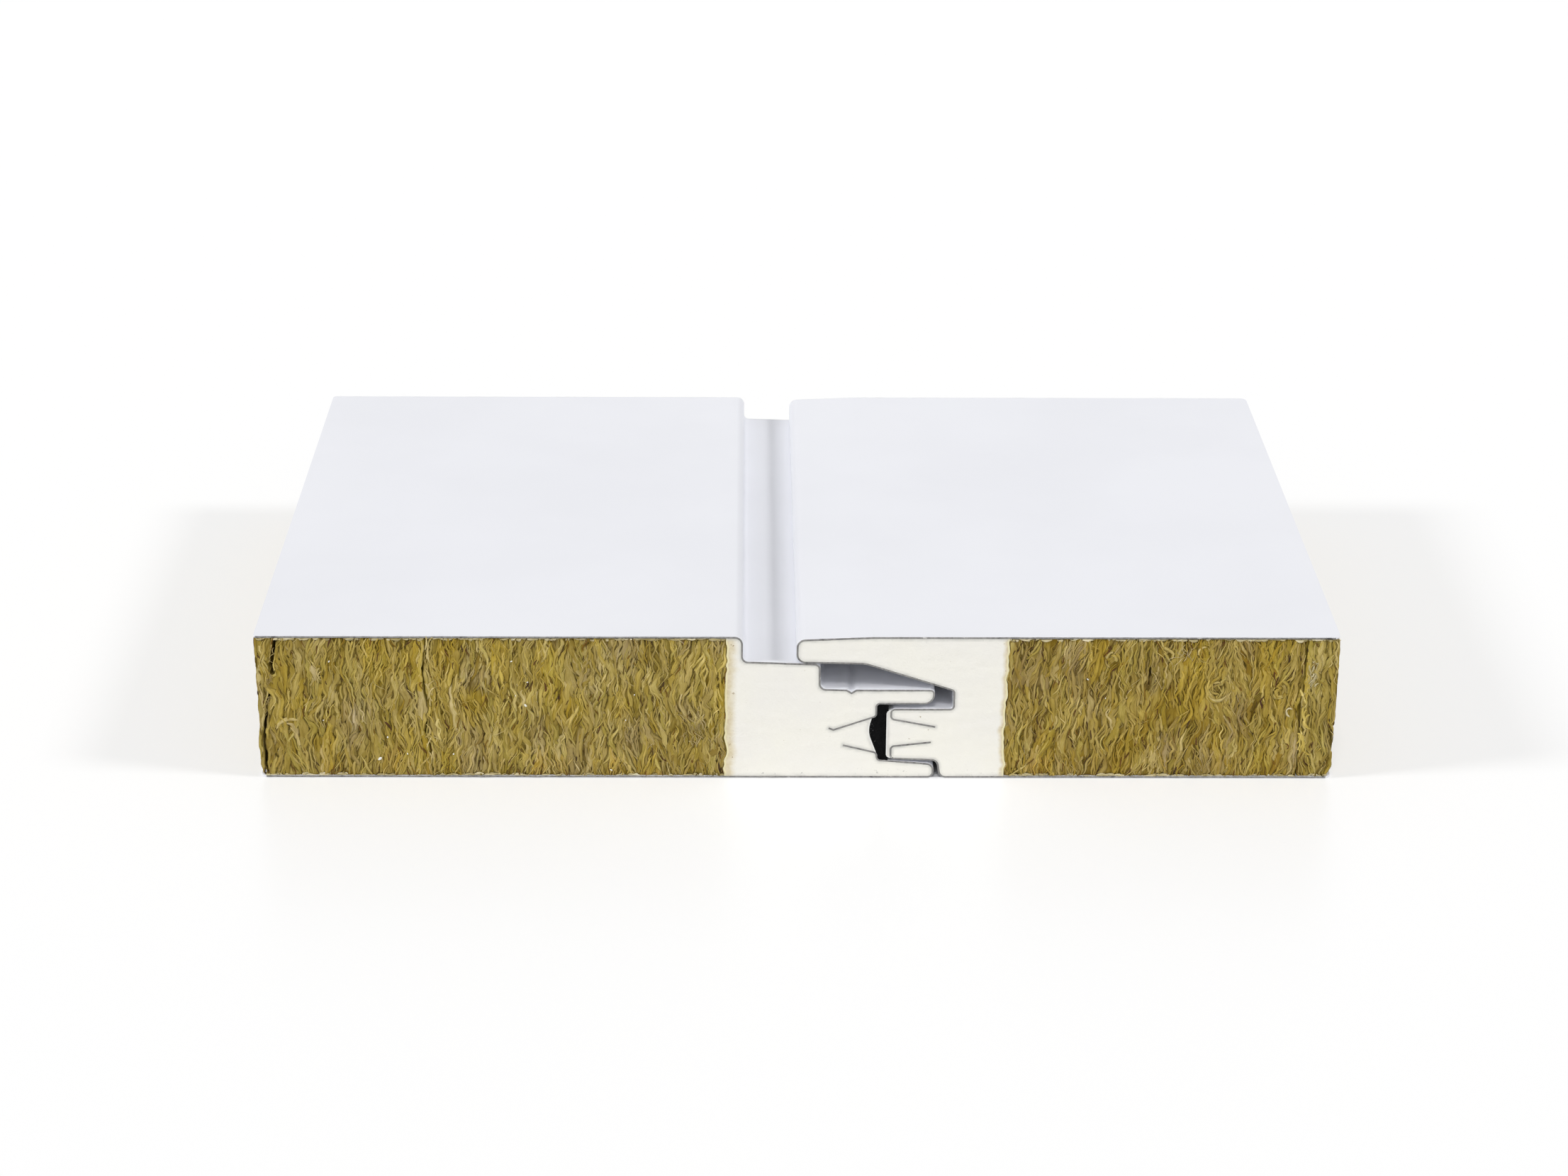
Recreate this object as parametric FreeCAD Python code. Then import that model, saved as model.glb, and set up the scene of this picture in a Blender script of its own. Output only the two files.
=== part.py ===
"""Insulated sandwich panel: a cut sample through its concealed-fix side joint.

Two offcuts of the same panel are pushed together at their long edges. Each one is a
bonded build-up: a roll-formed outer facing, a flat inner facing, upright mineral wool
lamellas between them and, along the joint, a rigid foam edge closed by a side tape. A
soft sealing strip is squeezed between the two foam edges.

The left offcut carries the tongue, the recess for the screw heads and the lower lip. The
right offcut covers them with its nose and takes the tongue in its groove.

Frame: millimetres, +X across the joint, +Y along the panel, +Z up to the outer face. The
origin is the middle of the underside. Every profile is drawn in the XZ plane on the
middle line of the sheet and runs the whole length of the sample.
"""

import FreeCAD
import Part

import math
import os

# The sample
panel_thickness = 50.0
sample_length = 226.0
facing_thickness = 0.6
left_corner_radius = 1.2
right_corner_radius = 2.5

# Core
left_foam_width = 5.4        # wool to the shoulder of the reveal
right_foam_width = 16.7      # end of the groove to the wool
lamella_width = 95.5
left_strip_width = 55.2      # sawn-off lamella at the left end
right_strip_width = 11.3
tape_thickness = 0.4

# Left outer facing: shoulder, shelf, screw recess, tongue and hem
reveal_width = 17.8          # shoulder to nose
reveal_depth = 8.6           # outer facing down to the shelf, at the shoulder
shelf_width = 25.0
shelf_fall = 0.85
recess_depth = 18.5          # outer facing down to the recess floor
recess_floor_fall = 0.25     # the floor runs down to the crease
crease_position = 10.3       # recess wall to the crease that guides the screws
crease_width = 3.2
crease_depth = 1.0
tongue_length = 36.9         # recess wall to the tip
tongue_height = 4.65
tongue_underside = 18.5      # tip back to the neck
neck_height = 4.5
left_hem_length = 14.7
left_hem_angle = 19.5
hem_curl_length = 1.6        # the hem's end, curled up by the slitting shear
hem_curl_angle = 24.0

# Left inner facing: lower lip and hem
lip_root_height = 6.05
lip_tip_height = 4.5
lip_overreach = 0.15         # the lip ends this far past the tongue
lip_hem_height = 2.6
lip_hem_length = 11.3
lip_hem_angle = 14.0

# Right outer facing: nose, cover, groove and hem
nose_ramp = 24.0             # length over which the outer face dips to the nose
nose_dip = 1.0
seat_clearance = 0.05        # nose above the shelf
cover_flat = 21.9            # underside of the nose, up to the slope over the recess
cover_fall = 0.5
groove_room = 6.5            # free space past the tongue's tip
tongue_clearance = 1.5       # below the tongue
foam_gap = 4.8               # left neck to the right foam's hem
right_hem_height = 3.4
right_hem_length = 14.6
right_hem_angle = 11.0

# Right inner facing: step over the lower lip and hem
lip_end_clearance = 0.7
lip_top_clearance = 0.4
step_slant = 1.0
step_fall = 0.6
step_hem_height = 4.3
step_hem_length = 13.1
step_hem_angle = 6.5

# Side tapes and sealing strip
left_tape_setback = 0.8      # where the tape starts on the upper hem, past its bend
left_tape_hollow = 2.9       # how far the left foam face is hollowed behind the neck
left_tape_rise = 1.6         # deepest point of the hollow above its middle
right_tape_offset = 1.3      # right tape in front of the hems
seal_overhang = 0.4          # strip past the face of the right tape

# Bend radii on the middle line of the sheet
shoulder_bend = 2.4
shelf_bend = 2.0
recess_bend = 1.8
floor_bend = 2.2
tip_top_bend = 1.2
tip_flat = 0.35              # tip between its two bends
neck_bend = 1.2
hem_bend = 1.3
lip_bend = 1.8
lip_tip_flat = 0.5           # lip's end between its two bends
nose_bend = 2.6
ramp_bend = 60.0
cover_bend = 8.0
step_bend = 2.2
tape_bend = 1.3
hollow_bend = 9.0

LEFT_REACH = reveal_width + left_foam_width + lamella_width + left_strip_width
GROOVE_REACH = shelf_width - reveal_width + tongue_length + groove_room
RIGHT_REACH = GROOVE_REACH + right_foam_width + lamella_width + right_strip_width
HALF_WIDTH = (LEFT_REACH + RIGHT_REACH) / 2
NOSE_X = LEFT_REACH - HALF_WIDTH
HALF_LENGTH = sample_length / 2
OUTER_Z = panel_thickness - facing_thickness / 2
INNER_Z = facing_thickness / 2


def point(x, z):
    return FreeCAD.Vector(x, -HALF_LENGTH, z)


def polar(length, degrees):
    """Step in the XZ plane, as (dx, dz)."""
    angle = math.radians(degrees)
    return length * math.cos(angle), length * math.sin(angle)


def bend(corners, index):
    """Start, middle and end of the tangent arc at one corner of a path."""
    before, here, after = (point(*corners[index + step][:2]) for step in (-1, 0, 1))
    radius = corners[index][2]
    back = (before - here).normalize()
    ahead = (after - here).normalize()
    half_angle = back.getAngle(ahead) / 2
    tangent = radius / math.tan(half_angle)
    inward = (back + ahead).normalize()
    middle = here + inward * (radius / math.sin(half_angle) - radius)
    return here + back * tangent, middle, here + ahead * tangent


def bend_at(path, name):
    """The arc at a named corner of a path."""
    return bend(list(path.values()), list(path).index(name))


def past_bend(path, name, distance):
    """Point at a distance past the bend of a named corner."""
    names = list(path)
    following = path[names[names.index(name) + 1]]
    here = bend_at(path, name)[2]
    return here + (point(*following[:2]) - here).normalize() * distance


def fit_bends(path):
    """Bends that meet share the run between them, so that no arc passes its neighbour."""
    corners = list(path.values())
    reach = [0.0] * len(corners)
    for index in range(1, len(corners) - 1):
        start, middle, end = bend(corners, index)
        reach[index] = (start - point(*corners[index][:2])).Length
    share = [1.0] * len(corners)
    for index in range(len(corners) - 1):
        run = (point(*corners[index + 1][:2]) - point(*corners[index][:2])).Length
        needed = reach[index] + reach[index + 1]
        if needed > run:
            share[index] = min(share[index], run / needed)
            share[index + 1] = min(share[index + 1], run / needed)
    return {
        name: (x, z, radius * part)
        for (name, (x, z, radius)), part in zip(path.items(), share)
    }


def stretch(path, first, last):
    """Corners from one name to another, in either direction."""
    names = list(path)
    start, end = names.index(first), names.index(last)
    corners = list(path.values())
    if start <= end:
        return corners[start:end + 1]
    return corners[end:start + 1][::-1]


def flat(vector):
    """A corner without a bend, from a vector."""
    return (vector.x, vector.z, 0)


def path_edges(corners):
    """Straight runs and tangent arcs through corners given as (x, z, bend radius)."""
    edges = []
    last = point(*corners[0][:2])
    for index in range(1, len(corners) - 1):
        if not corners[index][2]:
            here = point(*corners[index][:2])
            edges.append(Part.LineSegment(last, here).toShape())
            last = here
            continue
        start, middle, end = bend(corners, index)
        if (start - last).Length > 1e-6:
            edges.append(Part.LineSegment(last, start).toShape())
        edges.append(Part.Arc(start, middle, end).toShape())
        last = end
    edges.append(Part.LineSegment(last, point(*corners[-1][:2])).toShape())
    return edges


def offset_path(corners, distance):
    """The same path moved sideways, to the left of its direction for a positive distance."""
    moved = []
    for index, (x, z, radius) in enumerate(corners):
        here = point(x, z)
        sides = []
        for step in (-1, 0):
            if 0 <= index + step < len(corners) - 1:
                start = point(*corners[index + step][:2])
                end = point(*corners[index + step + 1][:2])
                along = (end - start).normalize()
                sides.append(FreeCAD.Vector(-along.z, 0, along.x))
        if len(sides) == 1:
            shift = sides[0] * distance
            turn = 0
        else:
            shift = (sides[0] + sides[1]) * (distance / (1 + sides[0].dot(sides[1])))
            turn = 1 if sides[0].cross(sides[1]).y < 0 else -1
        new = here + shift
        moved.append((new.x, new.z, max(radius - turn * distance, 0.0) if radius else 0.0))
    return moved


def extrude(edges):
    """Solid of a closed outline over the length of the sample."""
    outline = Part.Wire(Part.__sortEdges__(edges))
    return Part.Face(outline).extrude(FreeCAD.Vector(0, sample_length, 0))


def strip(path, thickness):
    """Sheet of one thickness that follows a path on its middle line."""
    corners = list(path.values())
    one_side = offset_path(corners, thickness / 2)
    other_side = offset_path(corners, -thickness / 2)
    ends = [
        Part.LineSegment(point(*one_side[i][:2]), point(*other_side[i][:2])).toShape()
        for i in (0, -1)
    ]
    return extrude(path_edges(one_side) + path_edges(other_side) + ends)


def round_corners(sheet, x, radius):
    """Deburred corners in plan, at the sawn end of a facing."""
    corner_edges = [
        edge
        for edge in sheet.Edges
        if all(abs(v.X - x) < 1e-6 for v in edge.Vertexes)
        and abs(edge.Vertexes[0].Z - edge.Vertexes[-1].Z) > facing_thickness / 2
    ]
    return sheet.makeFillet(radius, corner_edges)


def block(x_low, x_high, z_low, z_high):
    return Part.makeBox(
        x_high - x_low, sample_length, z_high - z_low, point(x_low, z_low)
    )


# Left offcut

def left_outer_path():
    """Outer face, shoulder, shelf, recess with its crease, tongue, neck and hem."""
    shoulder_x = NOSE_X - reveal_width
    shelf_z = OUTER_Z - reveal_depth
    wall_x = shoulder_x + shelf_width
    floor_z = OUTER_Z - recess_depth
    crease_x = wall_x + crease_position
    tip_x = wall_x + tongue_length
    under_z = floor_z - tongue_height
    neck_x = tip_x - tongue_underside
    hem_z = under_z - neck_height
    hem_dx, hem_dz = polar(left_hem_length, left_hem_angle)
    curl_dx, curl_dz = polar(hem_curl_length, hem_curl_angle)
    tip_under_bend = tongue_height - tip_top_bend - tip_flat
    return fit_bends({
        "end": (-HALF_WIDTH, OUTER_Z, 0),
        "shoulder": (shoulder_x, OUTER_Z, shoulder_bend),
        "shelf": (shoulder_x, shelf_z, shelf_bend),
        "wall_top": (wall_x, shelf_z - shelf_fall, recess_bend),
        "wall_foot": (wall_x, floor_z + recess_floor_fall, floor_bend),
        "crease_left": (crease_x - crease_width / 2, floor_z, 0),
        "crease": (crease_x, floor_z - crease_depth, 0),
        "crease_right": (crease_x + crease_width / 2, floor_z, 0),
        "tip_top": (tip_x, floor_z, tip_top_bend),
        "tip_under": (tip_x, under_z, tip_under_bend),
        "neck": (neck_x, under_z, neck_bend),
        "hem": (neck_x, hem_z, hem_bend),
        "curl": (neck_x - hem_dx, hem_z - hem_dz, 0),
        "curl_end": (neck_x - hem_dx - curl_dx, hem_z - hem_dz + curl_dz, 0),
    })


LEFT_OUTER = left_outer_path()
WALL_X, SHELF_END_Z = LEFT_OUTER["wall_top"][:2]
FLOOR_Z = LEFT_OUTER["tip_top"][1]
TIP_X, UNDER_Z = LEFT_OUTER["tip_under"][:2]
NECK_X = LEFT_OUTER["neck"][0]


def left_inner_path():
    """Inner face, lower lip under the groove, and its hem back into the foam."""
    tip_x = TIP_X + lip_overreach
    hem_x = NECK_X + facing_thickness / 2
    hem_dx, hem_dz = polar(lip_hem_length, lip_hem_angle)
    root_z = INNER_Z + lip_root_height
    lip_tip_bend = lip_tip_height - lip_bend - lip_tip_flat
    return fit_bends({
        "end": (-HALF_WIDTH, INNER_Z, 0),
        "lip_foot": (tip_x, INNER_Z, lip_bend),
        "lip_tip": (tip_x, INNER_Z + lip_tip_height, lip_tip_bend),
        "lip_root": (hem_x, root_z, hem_bend),
        "hem": (hem_x, root_z + lip_hem_height, hem_bend),
        "hem_end": (hem_x - hem_dx, root_z + lip_hem_height + hem_dz, 0),
    })


LEFT_INNER = left_inner_path()
LIP_TIP_X, LIP_TIP_Z = LEFT_INNER["lip_tip"][:2]
LIP_ROOT_X, LIP_ROOT_Z = LEFT_INNER["lip_root"][:2]


# Right offcut

def right_outer_path():
    """Outer face, nose over the shelf, cover over the recess, groove and hem."""
    nose_top_z = OUTER_Z - nose_dip
    shelf_slope = shelf_fall / shelf_width
    cover_slope = cover_fall / cover_flat
    seat_gap = facing_thickness + seat_clearance + cover_slope * nose_bend
    seat_z = SHELF_END_Z + shelf_slope * (WALL_X - NOSE_X - nose_bend) + seat_gap
    cover_x = NOSE_X + cover_flat
    end_x = NOSE_X + GROOVE_REACH
    groove_z = UNDER_Z - facing_thickness - tongue_clearance
    hem_x = NECK_X + foam_gap
    hem_z = groove_z - right_hem_height
    hem_dx, hem_dz = polar(right_hem_length, right_hem_angle)
    return fit_bends({
        "end": (HALF_WIDTH, OUTER_Z, 0),
        "ramp": (NOSE_X + nose_ramp, OUTER_Z, ramp_bend),
        "nose_top": (NOSE_X, nose_top_z, nose_bend),
        "nose_under": (NOSE_X, seat_z, nose_bend),
        "cover": (cover_x, seat_z - cover_fall, cover_bend),
        "groove_top": (end_x, FLOOR_Z, hem_bend),
        "groove_foot": (end_x, groove_z, hem_bend),
        "groove_lip": (hem_x, groove_z, hem_bend),
        "hem": (hem_x, hem_z, hem_bend),
        "hem_end": (hem_x + hem_dx, hem_z - hem_dz, 0),
    })


RIGHT_OUTER = right_outer_path()
GROOVE_END_X = RIGHT_OUTER["groove_top"][0]
RIGHT_HEM_X = RIGHT_OUTER["groove_lip"][0]


def right_inner_path():
    """Inner face, step over the left offcut's lower lip, and its hem."""
    step_foot_x = LIP_TIP_X + facing_thickness + lip_end_clearance + step_slant
    step_top_x = step_foot_x - step_slant
    lip_rise = (LIP_ROOT_Z - LIP_TIP_Z) / (LIP_TIP_X - LIP_ROOT_X)
    lip_z = LIP_ROOT_Z - lip_rise * (RIGHT_HEM_X - LIP_ROOT_X)
    hem_z = lip_z + facing_thickness + lip_top_clearance
    hem_dx, hem_dz = polar(step_hem_length, step_hem_angle)
    return fit_bends({
        "end": (HALF_WIDTH, INNER_Z, 0),
        "step_foot": (step_foot_x, INNER_Z, step_bend),
        "step_top": (step_top_x, hem_z - step_fall, step_bend),
        "step_lip": (RIGHT_HEM_X, hem_z, hem_bend),
        "hem": (RIGHT_HEM_X, hem_z + step_hem_height, hem_bend),
        "hem_end": (RIGHT_HEM_X + hem_dx, hem_z + step_hem_height + hem_dz, 0),
    })


RIGHT_INNER = right_inner_path()
TAPE_FACE_X = RIGHT_HEM_X - right_tape_offset


def foam_block(wool_x, outer_line, tape_line, inner_line):
    """Foam between the wool and the joint, out to the middle line of the sheets."""
    corners = [(wool_x, OUTER_Z, 0)]
    corners += outer_line + tape_line + inner_line
    corners += [(wool_x, INNER_Z, 0), (wool_x, OUTER_Z, 0)]
    return extrude(path_edges(corners))


def left_tape_path():
    """Hollow face between the neck's hem and the lower lip's hem."""
    top = past_bend(LEFT_OUTER, "hem", left_tape_setback)
    bottom = bend_at(LEFT_INNER, "hem")[1]
    hollow_x = NECK_X - left_tape_hollow
    hollow_z = (top.z + bottom.z) / 2 + left_tape_rise
    return fit_bends({
        "top": flat(top),
        "hollow": (hollow_x, hollow_z, hollow_bend),
        "bottom": flat(bottom),
    })


def right_tape_path():
    """Face that wraps the foam in front of the two hems."""
    top = bend_at(RIGHT_OUTER, "groove_lip")[1]
    bottom = bend_at(RIGHT_INNER, "step_lip")[1]
    return fit_bends({
        "top": flat(top),
        "upper": (TAPE_FACE_X, top.z, tape_bend),
        "lower": (TAPE_FACE_X, bottom.z, tape_bend),
        "bottom": flat(bottom),
    })


def lamellas(side, foam_x, direction, strip_width):
    """Upright wool strips from the foam edge out to the sawn end, by node name."""
    pieces = {}
    near = foam_x
    for number, width in enumerate((lamella_width, strip_width), 1):
        far = near + direction * width
        pieces[f"{side}_core_lamella_{number}"] = block(
            min(near, far),
            max(near, far),
            facing_thickness,
            panel_thickness - facing_thickness,
        )
        near = far
    return pieces


def left_offcut():
    foam_x = LEFT_OUTER["shoulder"][0] - left_foam_width
    outer = strip(LEFT_OUTER, facing_thickness)
    inner = strip(LEFT_INNER, facing_thickness)
    tape_line = left_tape_path()
    tape = strip(tape_line, tape_thickness).cut([outer, inner])
    lip_end = bend_at(LEFT_INNER, "hem")[0]
    foam = foam_block(
        foam_x,
        stretch(LEFT_OUTER, "shoulder", "hem"),
        list(tape_line.values()),
        [flat(lip_end)] + stretch(LEFT_INNER, "lip_root", "lip_foot"),
    )
    pieces = {
        "left_outer_facing": round_corners(outer, -HALF_WIDTH, left_corner_radius),
        "left_inner_facing": round_corners(inner, -HALF_WIDTH, right_corner_radius),
        "left_edge_tape": tape,
        "left_foam_edge": foam.cut([outer, inner, tape]),
    }
    pieces.update(lamellas("left", foam_x, -1, left_strip_width))
    return pieces


def right_offcut():
    foam_x = GROOVE_END_X + right_foam_width
    outer = strip(RIGHT_OUTER, facing_thickness)
    inner = strip(RIGHT_INNER, facing_thickness)
    tape_line = right_tape_path()
    tape = strip(tape_line, tape_thickness).cut([outer, inner])
    groove_end = bend_at(RIGHT_OUTER, "groove_lip")[0]
    step_end = bend_at(RIGHT_INNER, "step_lip")[0]
    foam = foam_block(
        foam_x,
        stretch(RIGHT_OUTER, "ramp", "groove_foot") + [flat(groove_end)],
        list(tape_line.values()),
        [flat(step_end)] + stretch(RIGHT_INNER, "step_top", "step_foot"),
    )
    pieces = {
        "right_outer_facing": round_corners(outer, HALF_WIDTH, right_corner_radius),
        "right_inner_facing": round_corners(inner, HALF_WIDTH, right_corner_radius),
        "right_edge_tape": tape,
        "right_foam_edge": foam.cut([outer, inner, tape]),
    }
    pieces.update(lamellas("right", foam_x, 1, right_strip_width))
    return pieces


def sealing_strip(neighbours):
    """Soft strip that fills the space between the two foam edges."""
    space = block(
        NECK_X - left_tape_hollow, TAPE_FACE_X + seal_overhang, LIP_ROOT_Z, UNDER_Z
    )
    return space.cut(neighbours)


def main():
    pieces = left_offcut()
    pieces.update(right_offcut())
    pieces["joint_seal"] = sealing_strip(list(pieces.values()))
    os.makedirs("parts", exist_ok=True)
    for name, shape in pieces.items():
        shape.exportStep(f"parts/{name}.step")
        box = shape.BoundBox
        print(
            f"{name}: {len(shape.Solids)} solid, valid {shape.isValid()}, "
            f"{shape.Volume / 1000:.1f} cm3, X {box.XMin:.2f} to {box.XMax:.2f}, "
            f"Z {box.ZMin:.2f} to {box.ZMax:.2f}"
        )


main()
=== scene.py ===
"""Looks of the insulated sandwich panel sample: two sawn offcuts, joined at their side joint.

Lengths in the tables below are millimetres in the CAD frame: X across the joint, Y along it, Z up.
"""

import math
from collections import namedtuple

import bmesh
import bpy
import numpy as np
from mathutils import Matrix, Vector


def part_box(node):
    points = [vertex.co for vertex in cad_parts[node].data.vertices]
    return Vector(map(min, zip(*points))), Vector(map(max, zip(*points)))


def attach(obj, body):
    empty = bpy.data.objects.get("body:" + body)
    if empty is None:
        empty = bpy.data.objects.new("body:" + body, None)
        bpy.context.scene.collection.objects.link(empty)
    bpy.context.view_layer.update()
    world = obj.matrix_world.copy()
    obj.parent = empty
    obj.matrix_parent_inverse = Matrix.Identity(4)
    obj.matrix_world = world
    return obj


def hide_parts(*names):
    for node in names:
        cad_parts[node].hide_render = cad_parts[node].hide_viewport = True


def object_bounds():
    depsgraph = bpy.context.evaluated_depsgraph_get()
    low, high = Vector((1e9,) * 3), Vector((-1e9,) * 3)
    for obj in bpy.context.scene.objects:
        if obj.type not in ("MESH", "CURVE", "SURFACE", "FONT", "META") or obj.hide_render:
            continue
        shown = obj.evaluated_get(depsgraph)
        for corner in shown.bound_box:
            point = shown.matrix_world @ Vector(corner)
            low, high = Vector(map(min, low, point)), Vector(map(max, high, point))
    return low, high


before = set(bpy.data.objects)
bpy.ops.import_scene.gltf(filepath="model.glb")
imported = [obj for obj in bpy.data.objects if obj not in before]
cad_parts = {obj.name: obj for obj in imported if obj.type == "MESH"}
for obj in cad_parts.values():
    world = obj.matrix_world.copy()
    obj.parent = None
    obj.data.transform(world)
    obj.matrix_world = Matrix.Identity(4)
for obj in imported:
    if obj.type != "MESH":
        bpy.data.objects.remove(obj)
cad_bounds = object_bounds()

MM = 0.001
BODY = "root"

# Camera of the photograph.
CAMERA_PLACE = (-0.0160, -1.0903, 0.4828)
CAMERA_LENS, SENSOR_WIDTH = 76.8, 36.0
CAMERA_PITCH, CAMERA_YAW, CAMERA_ROLL = (math.radians(a) for a in (23.045, 0.670, 0.359))

# Light, at a level where a colour renders about as it is written. Each lamp is a soft sun:
# its bearing from the front towards +X, its height, how wide it looks (degrees) and its strength.
SKY_STRENGTH = 0.34
LAMPS = {
    "front_softbox": (-8, 60, 14, 0.90),
    "left_softbox": (-80, 31, 12, 1.30),
    "right_softbox": (80, 38, 12, 1.09),
}

# The white table, in millimetres: how far it reaches, how far below the sample it lies, and how
# far inside the sample's outline it stops glowing. The glow is its share in what the camera sees.
TABLE_REACH, TABLE_GAP, TABLE_INSET = 4000, 0.15, (3, 1)
TABLE_GLOW = 0.40


def srgb(red, green, blue):
    """A colour as the eye reads it, 0 to 255, as the linear one that shaders take."""
    return tuple(
        c / 12.92 if c <= 0.04045 else ((c + 0.055) / 1.055) ** 2.4
        for c in (red / 255, green / 255, blue / 255)
    )


# ---------------- noise and meshes


class Noise:
    """Seeded smooth noise over a plane, from -1 to 1, with features one unit apart."""

    CELLS = 97

    def __init__(self, seed):
        self.values = np.random.default_rng(seed).uniform(-1, 1, (self.CELLS, self.CELLS))

    def __call__(self, a, b=0.0):
        a, b = np.broadcast_arrays(np.asarray(a, float), np.asarray(b, float))
        i, j = np.floor(a).astype(int), np.floor(b).astype(int)
        s, t = a - i, b - j
        s, t = s * s * (3 - 2 * s), t * t * (3 - 2 * t)
        at = lambda di, dj: self.values[(i + di) % self.CELLS, (j + dj) % self.CELLS]
        low = at(0, 0) * (1 - s) + at(1, 0) * s
        high = at(0, 1) * (1 - s) + at(1, 1) * s
        return low * (1 - t) + high * t


def smoothstep(low, high, x):
    t = np.clip((np.asarray(x, float) - low) / (high - low), 0, 1)
    return t * t * (3 - 2 * t)


class Build:
    """Points and faces in millimetres, gathered before they become one mesh."""

    def __init__(self):
        self.points, self.faces, self.slots, self.count = [], [], [], 0
        self.layers = {}

    def add(self, points, faces, **layers):
        """Adds points and the faces between them; each layer has a row for each point."""
        points = np.asarray(points, float).reshape(-1, 3)
        self.add_faces(faces, 0, self.count)
        for name, rows in layers.items():
            self.layers.setdefault(name, []).append(np.asarray(rows, float).reshape(len(points), -1))
        self.points.append(points)
        self.count += len(points)

    def add_faces(self, groups, slot, first=0):
        """Each group is an array of point numbers, counted from the first, with a face a row."""
        for group in groups:
            group = np.asarray(group, int)
            if group.size:
                self.faces.append(group + first)
                self.slots.append(np.full(len(group), slot))

    def finish(self, name, materials):
        """The gathered mesh as a smooth object in the scene."""
        mesh = bpy.data.meshes.new(name)
        points = np.concatenate(self.points) * MM
        corners = np.concatenate([f.ravel() for f in self.faces]).astype(np.int32)
        sizes = np.concatenate([np.full(len(f), f.shape[1]) for f in self.faces])
        starts = np.concatenate([[0], np.cumsum(sizes)[:-1]]).astype(np.int32)
        mesh.vertices.add(len(points))
        mesh.vertices.foreach_set("co", points.astype(np.float32).ravel())
        mesh.loops.add(len(corners))
        mesh.loops.foreach_set("vertex_index", corners)
        mesh.polygons.add(len(starts))
        mesh.polygons.foreach_set("loop_start", starts)
        mesh.polygons.foreach_set("material_index", np.concatenate(self.slots).astype(np.int32))
        mesh.polygons.foreach_set("use_smooth", np.full(len(starts), True))
        for layer, rows in self.layers.items():
            self.add_layer(mesh, layer, np.concatenate(rows).astype(np.float32), corners)
        for material in materials:
            mesh.materials.append(material)
        mesh.update(calc_edges=True)
        mesh.validate()
        piece = bpy.data.objects.new(name, mesh)
        bpy.context.scene.collection.objects.link(piece)
        return piece

    def add_layer(self, mesh, name, rows, corners):
        """A colour for rows of three values, a UV map for two and a number for one."""
        if rows.shape[1] == 3:
            attribute = mesh.attributes.new(name, "FLOAT_COLOR", "POINT")
            opaque = np.ones((len(rows), 1), np.float32)
            attribute.data.foreach_set("color", np.hstack([rows, opaque]).ravel())
        elif rows.shape[1] == 2:
            uv = mesh.uv_layers.new(name=name, do_init=False)
            uv.uv.foreach_set("vector", rows[corners].ravel())
        else:
            attribute = mesh.attributes.new(name, "FLOAT", "POINT")
            attribute.data.foreach_set("value", rows.ravel())


def dress(piece, slot, *nodes):
    """The piece stands for these CAD nodes, which are hidden, and joins the body; slot is not used."""
    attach(piece, BODY)
    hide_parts(*nodes)
    return piece


def box_mm(node):
    low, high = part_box(node)
    return np.array(low) / MM, np.array(high) / MM


# How far the sample reaches from its middle, along X and Y.
END_X, FRONT_Y = (round(-reach, 3) for reach in box_mm("left_outer_facing")[0][:2])


def front_outline(node):
    """The outline (x, z) of a CAD piece's sawn front, anticlockwise as seen from the front."""
    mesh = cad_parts[node].data
    front = box_mm(node)[0][1] * MM
    sides = set()
    for face in mesh.polygons:
        corners = [mesh.vertices[i].co for i in face.vertices]
        if all(abs(c.y - front) < 1e-6 for c in corners):
            keys = [(round(c.x / MM, 3), round(c.z / MM, 3)) for c in corners]
            sides.update(zip(keys, keys[1:] + keys[:1]))
    step = {a: b for a, b in sides if (b, a) not in sides}
    start = min(step)
    line = [start]
    while step[line[-1]] != start:
        line.append(step[line[-1]])
    line = np.array(line)
    area = np.sum(line[:, 0] * np.roll(line[:, 1], -1) - np.roll(line[:, 0], -1) * line[:, 1])
    return line if area > 0 else line[::-1]


def resampled(line, longest):
    """A closed outline with no side longer than this."""
    out = []
    for a, b in zip(line, np.roll(line, -1, axis=0)):
        parts = max(1, math.ceil(np.linalg.norm(b - a) / longest))
        out += [a + (b - a) * i / parts for i in range(parts)]
    return np.array(out)


# ---------------- materials


class Nodes:
    """Short ways to add nodes to a tree; values are numbers, colours or other nodes' sockets."""

    def __init__(self, tree):
        self.tree = tree

    def feed(self, socket, value):
        if isinstance(value, bpy.types.NodeSocket):
            self.tree.links.new(value, socket)
        elif isinstance(value, tuple) and socket.type == "RGBA":
            socket.default_value = (*value, 1.0)
        else:
            socket.default_value = value

    def node(self, kind, inputs=(), **settings):
        """A new node with these settings, fed by the names or numbers of its inputs."""
        node = self.tree.nodes.new(kind)
        for key, value in settings.items():
            setattr(node, key, value)
        for name, value in dict(inputs).items():
            self.feed(node.inputs[name], value)
        return node

    def maths(self, operation, *values):
        return self.node("ShaderNodeMath", enumerate(values), operation=operation).outputs[0]


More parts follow.
